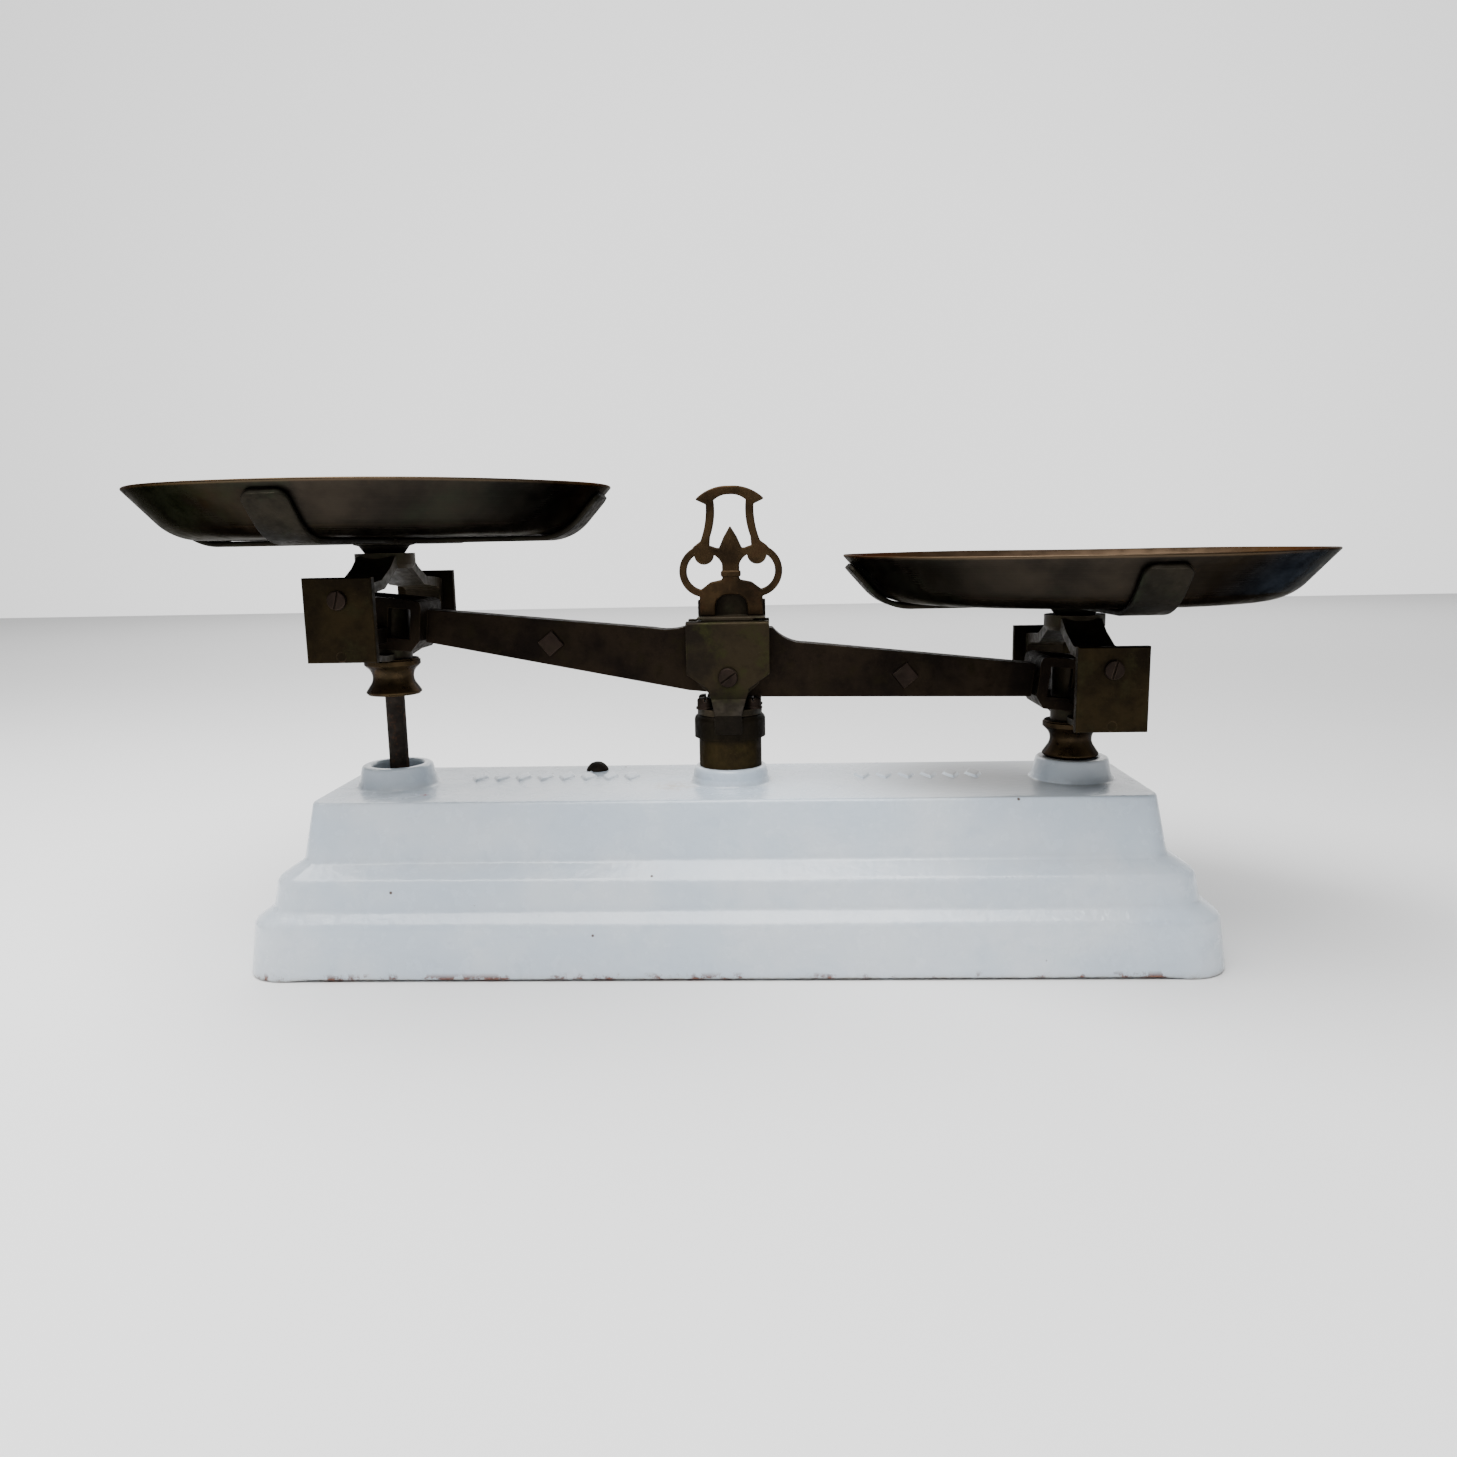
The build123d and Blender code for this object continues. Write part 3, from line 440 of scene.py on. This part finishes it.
class Paint:
    """A material put together from nodes, in the object's own coordinates."""

    def __init__(self, name):
        self.material = bpy.data.materials.new(name)
        self.material.use_nodes = True
        self.tree = self.material.node_tree
        self.shader = self.tree.nodes["Principled BSDF"]
        self.place = self.node("ShaderNodeTexCoord").outputs["Object"]

    def node(self, kind, inputs=None, **settings):
        made = self.tree.nodes.new(kind)
        for key, value in settings.items():
            setattr(made, key, value)
        for key, value in (inputs or {}).items():
            self.feed(made.inputs[key], value)
        return made

    def feed(self, socket, value):
        if isinstance(value, bpy.types.NodeSocket):
            self.tree.links.new(value, socket)
        else:
            socket.default_value = value

    def noise(self, scale, detail=4.0, roughness=0.55, stretch=None, shift=0.0):
        """Noise from 0 to 1 with features about 1/scale metres across."""
        place = self.place
        if stretch or shift:
            place = self.node("ShaderNodeMapping", {"Vector": place, "Location": (shift, shift, shift),
                                                    "Scale": stretch or (1, 1, 1)}).outputs[0]
        made = self.node("ShaderNodeTexNoise", {"Vector": place, "Scale": scale, "Detail": detail,
                                                "Roughness": roughness})
        return made.outputs["Fac"]

    def levels(self, value, low, high, out_low=0.0, out_high=1.0):
        """Value stretched so that low and high become out_low and out_high, with soft ends."""
        made = self.node("ShaderNodeMapRange", {"Value": value, "From Min": low, "From Max": high,
                                                "To Min": out_low, "To Max": out_high},
                         interpolation_type="SMOOTHSTEP")
        return made.outputs[0]

    def math(self, kind, a, b=0.0):
        return self.node("ShaderNodeMath", {0: a, 1: b}, operation=kind).outputs[0]

    def blend(self, share, a, b):
        """Colour a where share is 0 and colour b where it is 1."""
        made = self.node("ShaderNodeMix", {"Factor": share, "A": a, "B": b}, data_type="RGBA")
        return made.outputs["Result"]

    def edges(self, radius, low, high):
        """1 along worn edges and corners, 0 on open faces."""
        softer = self.node("ShaderNodeBevel", {"Radius": radius}, samples=4).outputs[0]
        normal = self.node("ShaderNodeNewGeometry").outputs["Normal"]
        facing = self.node("ShaderNodeVectorMath", {0: softer, 1: normal}, operation="DOT_PRODUCT")
        return self.levels(facing.outputs["Value"], high, low)

    def crevice(self, distance, low=0.35, high=0.9):
        """1 in corners and gaps, 0 in the open."""
        open_share = self.node("ShaderNodeAmbientOcclusion", {"Distance": distance}, samples=6)
        return self.levels(open_share.outputs["AO"], high, low)

    def bump(self, height, distance, strength=1.0, below=None):
        made = self.node("ShaderNodeBump", {"Height": height, "Distance": distance, "Strength": strength})
        if below is not None:
            self.feed(made.inputs["Normal"], below)
        return made.outputs[0]

    def finish(self, colour, roughness, normal, metallic=0.0, **constants):
        self.feed(self.shader.inputs["Base Color"], colour)
        self.feed(self.shader.inputs["Roughness"], roughness)
        self.feed(self.shader.inputs["Normal"], normal)
        self.feed(self.shader.inputs["Metallic"], metallic)
        for key, value in constants.items():
            self.shader.inputs[key.replace("_", " ")].default_value = value
        return self.material


def near(paint, spot, radius):
    """1 at a spot on the object, fading to 0 at radius."""
    away = paint.node("ShaderNodeVectorMath", {0: paint.place, 1: spot}, operation="DISTANCE")
    return paint.levels(away.outputs["Value"], radius, 0.0)


def facing_up(paint):
    """1 on level faces, 0 on upright ones."""
    normal = paint.node("ShaderNodeNewGeometry").outputs["Normal"]
    return paint.levels(paint.node("ShaderNodeSeparateXYZ", {0: normal}).outputs["Z"], 0.7, 0.98)


def enamel():
    """White stove enamel over iron: orange peel, a faint blue drift, specks, grime with painted shade in
    corners, grey painted shade on the right of the top and chipped rust.
    """
    p = Paint("white_enamel")
    drift = p.noise(18.0, 3.0)
    cloud = p.noise(90.0, 5.0)
    colour = p.blend(p.levels(drift, 0.35, 0.68), (0.52, 0.60, 0.685, 1), (0.62, 0.675, 0.73, 1))
    colour = p.blend(p.levels(cloud, 0.5, 0.8, 0.0, 0.45), colour, (0.44, 0.53, 0.62, 1))
    patchy = p.levels(p.noise(240.0, 6.0), 0.3, 0.7, 0.35, 0.95)
    # partly grime, partly painted shade: grey-brown in corners, creases and round the lozenges, taken from
    # the occlusion mask
    grime_and_painted_shade = p.math("MULTIPLY", p.crevice(0.0045, 0.45, 0.96), patchy)
    colour = p.blend(grime_and_painted_shade, colour, (0.22, 0.20, 0.165, 1))
    # painted shade: a grey patch on the right half of the top, under the low right pan; it also roughens the
    # coat there
    right_top_painted_shade = p.math("MULTIPLY", near(p, (0.125, 0.0, 0.0815), 0.115), facing_up(p))
    colour = p.blend(p.math("MULTIPLY", right_top_painted_shade, 0.9), colour, (0.17, 0.165, 0.158, 1))
    stain = p.math("MULTIPLY", near(p, (-0.028, -0.012, 0.081), 0.016), p.levels(p.noise(260.0), 0.3, 0.7))
    colour = p.blend(stain, colour, (0.30, 0.25, 0.18, 1))
    fleck = p.node("ShaderNodeTexVoronoi", {"Vector": p.place, "Scale": 95.0})
    rare = p.levels(fleck.outputs["Distance"], 0.085, 0.045)
    chosen = p.levels(p.noise(60.0, 2.0, shift=3.1), 0.60, 0.63)
    specks = p.math("MULTIPLY", rare, chosen)
    colour = p.blend(specks, colour, (0.10, 0.07, 0.06, 1))
    height = p.node("ShaderNodeSeparateXYZ", {0: p.place}).outputs["Z"]
    low_down = p.levels(height, 0.0050, 0.0012)
    broken = p.levels(p.noise(75.0, 8.0, 0.7, shift=0.37), 0.535, 0.585)
    chips = p.math("MULTIPLY", low_down, broken)
    rust = p.blend(p.levels(p.noise(900.0, 4.0), 0.35, 0.65), (0.085, 0.020, 0.012, 1),
                   (0.20, 0.07, 0.035, 1))
    colour = p.blend(chips, colour, rust)
    red = p.levels(p.noise(700.0, 3.0, shift=1.9), 0.40, 0.55)
    colour = p.blend(p.math("MULTIPLY", near(p, (-0.150, -0.026, 0.080), 0.0032), red), colour,
                     (0.42, 0.03, 0.04, 1))
    rough = p.levels(p.noise(140.0, 4.0), 0.3, 0.7, 0.16, 0.30)
    rough = p.math("MAXIMUM", rough, p.math("MULTIPLY", p.math("MAXIMUM", chips, specks), 0.85))
    rough = p.math("MAXIMUM", rough, p.math("MULTIPLY", right_top_painted_shade, 0.6))
    peel = p.bump(p.noise(300.0, 2.0, 0.4), 0.0004, 0.8)
    peel = p.bump(p.noise(38.0, 2.0, 0.4, shift=0.8), 0.0020, 0.5, peel)
    peel = p.bump(p.math("MULTIPLY", p.math("ADD", chips, specks), -1.0), 0.0004, 0.8, peel)
    return p.finish(colour, rough, peel, Coat_Weight=0.35, Coat_Roughness=0.14, Specular_IOR_Level=0.4)


def aged_brass(name, dark, middle, patina, bare, rough=0.5, shift=0.0, metal=0.75, dark_band=None):
    """Brass gone brown-black: blotches, green-brown patina, speckle, scratches and brighter worn edges.

    The last argument, a pair of heights, darkens the colour: unchanged at the first height and near-black at
    the second.
    """
    p = Paint(name)
    blotch = p.noise(45.0, 6.0, 0.6, shift=shift)
    mottle = p.noise(260.0, 5.0, 0.6, shift=shift)
    colour = p.blend(p.levels(blotch, 0.35, 0.65), dark, middle)
    aged = p.levels(p.noise(85.0, 7.0, 0.65, shift=shift + 1.7), 0.5, 0.68, 0.0, 0.8)
    colour = p.blend(aged, colour, patina)
    colour = p.blend(p.levels(mottle, 0.55, 0.75, 0.0, 0.45), colour, dark)
    grain = p.noise(1500.0, 3.0, 0.6, shift=shift)
    colour = p.blend(p.levels(grain, 0.6, 0.8, 0.0, 0.5), colour, middle)
    scratch = p.levels(p.noise(420.0, 2.0, 0.5, stretch=(1, 1, 14), shift=shift + 0.4), 0.70, 0.78, 0.0, 0.35)
    colour = p.blend(scratch, colour, bare)
    uneven = p.levels(p.noise(180.0, 4.0), 0.35, 0.7, 0.2, 1.0)
    rubbed = p.math("MULTIPLY", p.edges(0.0007, 0.80, 0.97), uneven)
    rubbed = p.math("MULTIPLY", rubbed, RUBBED_SHARE)
    colour = p.blend(rubbed, colour, bare)
    # partly dirt, partly painted shade: near-black in corners and gaps, taken from the occlusion mask
    dirt_and_painted_shade = p.crevice(0.005)
    colour = p.blend(p.math("MULTIPLY", dirt_and_painted_shade, 0.75), colour, (0.008, 0.006, 0.004, 1))
    # near-black towards the second of the two heights: lower down on the guard, higher up on the column
    if dark_band:
        height = p.node("ShaderNodeSeparateXYZ", {0: p.place}).outputs["Z"]
        colour = p.blend(p.levels(height, *dark_band, 0.0, 0.8), colour, (0.007, 0.006, 0.005, 1))
    roughness = p.levels(mottle, 0.3, 0.7, rough - 0.10, rough + 0.14)
    roughness = p.math("SUBTRACT", roughness, p.math("MULTIPLY", rubbed, 0.12))
    pits = p.bump(p.noise(700.0, 5.0, 0.65, shift=shift), 0.00012, 0.6)
    pits = p.bump(p.noise(110.0, 3.0, 0.5, shift=shift), 0.0004, 0.35, pits)
    return p.finish(colour, roughness, pits, metal, Specular_IOR_Level=0.25, Specular_Tint=DULL)


def inside_of_dish(paint, radius, height, knife):
    """1 on the pan's upper face near its rim and 0 on its underside."""
    foot = PAN_RADIUS * MM - math.tan(math.pi / 2 - PAN_FLARE) * PAN_DEPTH * MM
    slope = paint.math("MULTIPLY", paint.math("SUBTRACT", radius, foot), math.tan(PAN_FLARE))
    surface = paint.math("ADD", slope, (knife[2] + PAN_FLOOR + 0.5 * PAN_WALL) * MM)
    return paint.math("GREATER_THAN", height, surface)


def spun_brass(side, shift):
    """The pans: dark brown-grey brass with faint spinning marks, cloudy tarnish, a rubbed rim and a painted
    highlight on the inner wall near the rim.
    """
    p = Paint(side + "_pan_brass")
    knife = KNIVES[side]
    centre = (knife[0] * MM, 0.0, 0.0)
    local = p.node("ShaderNodeVectorMath", {0: p.place, 1: centre}, operation="SUBTRACT").outputs[0]
    parts = p.node("ShaderNodeSeparateXYZ", {0: local})
    radius = p.math("SQRT", p.math("ADD", p.math("POWER", parts.outputs["X"], 2.0),
                                   p.math("POWER", parts.outputs["Y"], 2.0)))
    along = p.math("MULTIPLY", radius, 1700.0)
    rings = p.node("ShaderNodeTexNoise", {"W": along, "Scale": 1.0, "Detail": 3.0},
                   noise_dimensions="1D").outputs["Fac"]
    cloud = p.noise(28.0, 6.0, 0.6, shift=shift)
    colour = p.blend(p.levels(cloud, 0.35, 0.65), (0.014, 0.012, 0.010, 1), (0.026, 0.021, 0.016, 1))
    colour = p.blend(p.levels(p.noise(16.0, 5.0, 0.6, shift=shift + 2.2), 0.5, 0.68, 0.0, 0.7), colour,
                     (0.021, 0.025, 0.016, 1))
    colour = p.blend(p.levels(p.noise(210.0, 6.0, 0.7, shift=shift), 0.58, 0.78, 0.0, 0.5), colour,
                     (0.036, 0.026, 0.017, 1))
    colour = p.blend(p.levels(rings, 0.45, 0.75, 0.0, 0.16), colour, (0.030, 0.024, 0.019, 1))
    height = p.node("ShaderNodeSeparateXYZ", {0: p.place}).outputs["Z"]
    inside = inside_of_dish(p, radius, height, knife)
    # painted highlight: the inner wall near the rim, where it faces the light, painted a lighter tan
    tan = p.math("MULTIPLY", inside, p.levels(radius, 0.094, 0.111))
    colour = p.blend(p.math("MULTIPLY", tan, 0.75), colour, (0.110, 0.072, 0.045, 1))
    rim = p.levels(radius, 0.1121, 0.1129)
    colour = p.blend(p.math("MULTIPLY", rim, 0.5), colour, (0.11, 0.075, 0.045, 1))
    if side == "right":
        # a bluish patch on the outside of the right pan, low down and towards the front right
        blue_patch = near(p, (centre[0] + 0.075, -0.075, knife[2] * MM + 0.047), 0.055)
        outside = p.math("SUBTRACT", 0.8, inside)
        blue_patch = p.math("MAXIMUM", p.math("MULTIPLY", blue_patch, outside), 0.0)
        colour = p.blend(blue_patch, colour, (0.050, 0.062, 0.080, 1))
    roughness = p.levels(p.noise(120.0, 5.0, 0.6, shift=shift), 0.3, 0.7, 0.30, 0.46)
    ripple = p.bump(rings, 0.00006, 0.5)
    ripple = p.bump(p.noise(60.0, 3.0, 0.5, shift=shift), 0.0006, 0.25, ripple)
    return p.finish(colour, roughness, ripple, 1.0, Specular_Tint=DULL_PAN)


def iron(name, tint, rough=0.62, metal=0.55, rust_share=0.5):
    """Dark iron with a thin skin of brown rust."""
    p = Paint(name)
    colour = p.blend(p.levels(p.noise(120.0, 6.0, 0.65), 0.35, 0.7), tint, (0.030, 0.024, 0.020, 1))
    rust = p.levels(p.noise(220.0, 7.0, 0.7, shift=0.9), 0.52, 0.66, 0.0, rust_share)
    colour = p.blend(rust, colour, (0.075, 0.035, 0.018, 1))
    colour = p.blend(p.math("MULTIPLY", p.edges(0.0006, 0.80, 0.97), 0.5), colour, (0.12, 0.10, 0.085, 1))
    roughness = p.levels(p.noise(300.0, 5.0), 0.3, 0.7, rough - 0.1, rough + 0.15)
    skin = p.bump(p.noise(800.0, 6.0, 0.7), 0.00015, 0.7)
    return p.finish(colour, roughness, skin, metal, Specular_IOR_Level=0.25, Specular_Tint=DULL)


def plain_floor():
    p = Paint("pale_floor")
    colour = p.blend(p.noise(3.0, 2.0), (0.86, 0.86, 0.86, 1), (0.88, 0.88, 0.88, 1))
    return p.finish(colour, 0.75, p.bump(p.noise(400.0), 0.00005, 0.2))


# ---- putting the object together -----------------------------------------------------------------------
def knife_edge(side):
    """Where a carrier's knife edge is, in millimetres."""
    low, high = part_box(side + "_pan")
    return ((low.x + high.x) / 2 / MM, 0.0, low.z / MM - PAN_FLOOR)


KNIVES = {"left": knife_edge("left"), "right": knife_edge("right")}


def stand_in(piece, node, material):
    """The piece rides with the node's body, hides the node and takes its finish."""
    piece.data.materials.clear()
    piece.data.materials.append(material)
    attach(piece, nodes[node]["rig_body"])
    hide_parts(node)


def make_materials():
    """Every finish on the object, by a short name."""
    return {
        "enamel": enamel(),
        "left_pan": spun_brass("left", 0.0),
        "right_pan": spun_brass("right", 5.0),
        "beam": aged_brass("beam_brass", (0.007, 0.005, 0.004, 1), (0.016, 0.011, 0.007, 1),
                           (0.013, 0.010, 0.005, 1), (0.080, 0.055, 0.032, 1)),
        "plate": aged_brass("plate_brass", (0.010, 0.007, 0.004, 1), (0.023, 0.016, 0.007, 1),
                            (0.021, 0.018, 0.008, 1), (0.11, 0.078, 0.045, 1), shift=2.0),
        "guard": aged_brass("guard_brass", (0.014, 0.011, 0.008, 1), (0.028, 0.021, 0.012, 1),
                            (0.027, 0.027, 0.010, 1), (0.09, 0.068, 0.050, 1), shift=4.0,
                            dark_band=(0.131, 0.120)),
        "column": aged_brass("column_brass", (0.017, 0.012, 0.006, 1), (0.042, 0.029, 0.011, 1),
                             (0.030, 0.023, 0.008, 1), (0.13, 0.09, 0.045, 1), shift=6.0,
                             dark_band=(0.100, 0.1045)),
        "yoke": aged_brass("yoke_brass", (0.014, 0.011, 0.007, 1), (0.034, 0.026, 0.016, 1),
                           (0.026, 0.026, 0.014, 1), (0.12, 0.09, 0.055, 1), shift=8.0, metal=0.35),
        "vase": aged_brass("vase_brass", (0.018, 0.012, 0.007, 1), (0.048, 0.031, 0.014, 1),
                           (0.030, 0.022, 0.010, 1), (0.18, 0.12, 0.06, 1), rough=0.34, shift=9.0),
        "spider": aged_brass("spider_brass", (0.010, 0.009, 0.007, 1), (0.020, 0.017, 0.012, 1),
                             (0.015, 0.018, 0.011, 1), (0.09, 0.078, 0.060, 1), shift=11.0),
        "lyre": aged_brass("lyre_brass", (0.014, 0.009, 0.005, 1), (0.046, 0.028, 0.013, 1),
                           (0.040, 0.020, 0.010, 1), (0.16, 0.10, 0.05, 1), rough=0.5, shift=13.0),
        "screw": aged_brass("screw_brass", (0.014, 0.010, 0.008, 1), (0.028, 0.019, 0.015, 1),
                            (0.022, 0.017, 0.012, 1), (0.12, 0.085, 0.060, 1), shift=15.0),
        "iron": iron("dark_iron", (0.018, 0.015, 0.013, 1)),
        "steel": iron("knife_steel", (0.060, 0.055, 0.050, 1), 0.40, 0.9, 0.25),
        "lead": iron("tare_lead", (0.120, 0.120, 0.125, 1), 0.70, 0.5, 0.05),
    }


def carried_over(materials):
    """Stands in for the CAD nodes that keep their shape, each with a finish and an edge rounding in mm."""
    rows = {
        "dome_bolt": ("iron", 0.3), "dome_nut": ("iron", 0.5), "column": ("column", 0.5),
        "column_nut": ("iron", 0.6), "bearing_fork": ("yoke", 0.4), "fork_screws": ("screw", 0.3),
        "fork_washers": ("screw", 0.2), "centre_bearings": ("steel", 0.2),
        "front_guard_plate": ("guard", 0.45), "rear_guard_plate": ("guard", 0.45),
        "guard_screws": ("screw", 0.25), "bridge": ("yoke", 0.5),
        "lower_bracket": ("iron", 0.5), "lower_pivot_pin": ("steel", 0.4), "beam": ("beam", 0.55),
        "centre_knife": ("steel", 0.15), "left_end_knives": ("steel", 0.15),
        "right_end_knives": ("steel", 0.15), "lozenge_studs": ("screw", 0.3), "counter_beam": ("iron", 0.6),
        "right_tare_plug": ("lead", 0.4),
    }
    for side in ("left", "right"):
        rows.update({
            side + "_top_yoke": ("yoke", 0.7), side + "_front_plate": ("plate", 0.35),
            side + "_rear_plate": ("plate", 0.35), side + "_plate_screws": ("screw", 0.25),
            side + "_plate_rivets": ("plate", 0.1), side + "_end_bearings": ("steel", 0.2),
            side + "_lower_yoke": ("yoke", 0.5), side + "_vase": ("vase", 0.4),
            side + "_stem": ("iron", 0.5), side + "_stem_foot": ("iron", 0.5),
            side + "_foot_pin": ("steel", 0.3),
        })
    for node, (paint, width) in rows.items():
        stand_in(softened(node, width), node, materials[paint])


def build_object():
    materials = make_materials()
    carried_over(materials)
    stand_in(enamelled_base(), "base_casting", materials["enamel"])
    stand_in(cast_copy("lyre", 0.30, 8, 0.30), "lyre", materials["lyre"])
    for side, knife in KNIVES.items():
        stand_in(pan(side, knife), side + "_pan", materials[side + "_pan"])
        stand_in(spider(side, knife), side + "_spider", materials["spider"])


# ---- studio -------------------------------------------------------------------------------------------
CAMERA_PLACE = (0.0208, -0.5429, 0.1990)
CAMERA_YAW = -2.281  # degrees to the right of straight ahead
CAMERA_PITCH = 9.635  # degrees below level
CAMERA_ROLL = -1.1065
FOCAL_LENGTH = 26.94
SENSOR_WIDTH = 36.0


def floor():
    """A large pale sheet under and behind the object."""
    bm = bmesh.new()
    half = 3000.0
    tiles = 6  # on each side of the middle
    for x in range(-tiles, tiles):
        for y in range(-tiles, tiles):
            corners = [(x, y), (x + 1, y), (x + 1, y + 1), (x, y + 1)]
            bm.faces.new([bm.verts.new((half * a / tiles, half * b / tiles, 0.0)) for a, b in corners])
    sheet = new_object("floor", bm)
    sheet.data.materials.append(plain_floor())


def area_light(name, place, aim, size, power, colour=(1.0, 1.0, 1.0)):
    data = bpy.data.lights.new(name, "AREA")
    data.shape = "RECTANGLE"
    data.size, data.size_y = size
    data.energy = power
    data.color = colour
    lamp = bpy.data.objects.new(name, data)
    lamp.location = place
    lamp.rotation_euler = (Vector(aim) - Vector(place)).to_track_quat("-Z", "Y").to_euler()
    bpy.context.scene.collection.objects.link(lamp)


def studio():
    """A pale room that is brighter towards the back, a soft light overhead and one on the backdrop."""
    world = bpy.data.worlds.new("studio")
    bpy.context.scene.world = world
    world.use_nodes = True
    tree = world.node_tree
    background = tree.nodes["Background"]
    background.inputs["Color"].default_value = (1.0, 1.0, 1.0, 1.0)
    towards = tree.nodes.new("ShaderNodeSeparateXYZ")
    tree.links.new(tree.nodes.new("ShaderNodeTexCoord").outputs["Generated"], towards.inputs[0])
    brighter = tree.nodes.new("ShaderNodeMapRange")
    for key, value in (("From Min", 0.35), ("From Max", 0.95), ("To Min", 0.38), ("To Max", 1.8)):
        brighter.inputs[key].default_value = value
    tree.links.new(towards.outputs["Y"], brighter.inputs["Value"])
    tree.links.new(brighter.outputs[0], background.inputs["Strength"])
    area_light("backdrop_wash", (0.1, 2.1, 1.4), (0.1, 2.1, 0.0), (3.4, 1.4), 30.0)
    area_light("soft_key", (-0.28, -0.24, 1.10), (-0.05, -0.02, 0.08), (1.6, 0.75), 36.0)


def camera():
    """Looks from the front, a little from above and slightly turned and tilted."""
    yaw = math.radians(CAMERA_YAW)
    pitch = math.radians(CAMERA_PITCH)
    roll = math.radians(CAMERA_ROLL)
    forward = Vector((math.sin(yaw), math.cos(yaw), 0.0))
    right = Vector((math.cos(yaw), -math.sin(yaw), 0.0))
    ahead = forward * math.cos(pitch) - Vector((0, 0, 1)) * math.sin(pitch)
    up = Vector((0, 0, 1)) * math.cos(pitch) + forward * math.sin(pitch)
    rolled_right = right * math.cos(roll) + up * math.sin(roll)
    rolled_up = up * math.cos(roll) - right * math.sin(roll)
    data = bpy.data.cameras.new("camera")
    data.sensor_width = SENSOR_WIDTH
    data.lens = FOCAL_LENGTH
    data.clip_start = 0.01
    eye = bpy.data.objects.new("camera", data)
    turn = Matrix((rolled_right, rolled_up, -ahead)).transposed()
    eye.matrix_world = Matrix.Translation(CAMERA_PLACE) @ turn.to_4x4()
    bpy.context.scene.collection.objects.link(eye)
    bpy.context.scene.camera = eye


build_object()
floor()
studio()
camera()
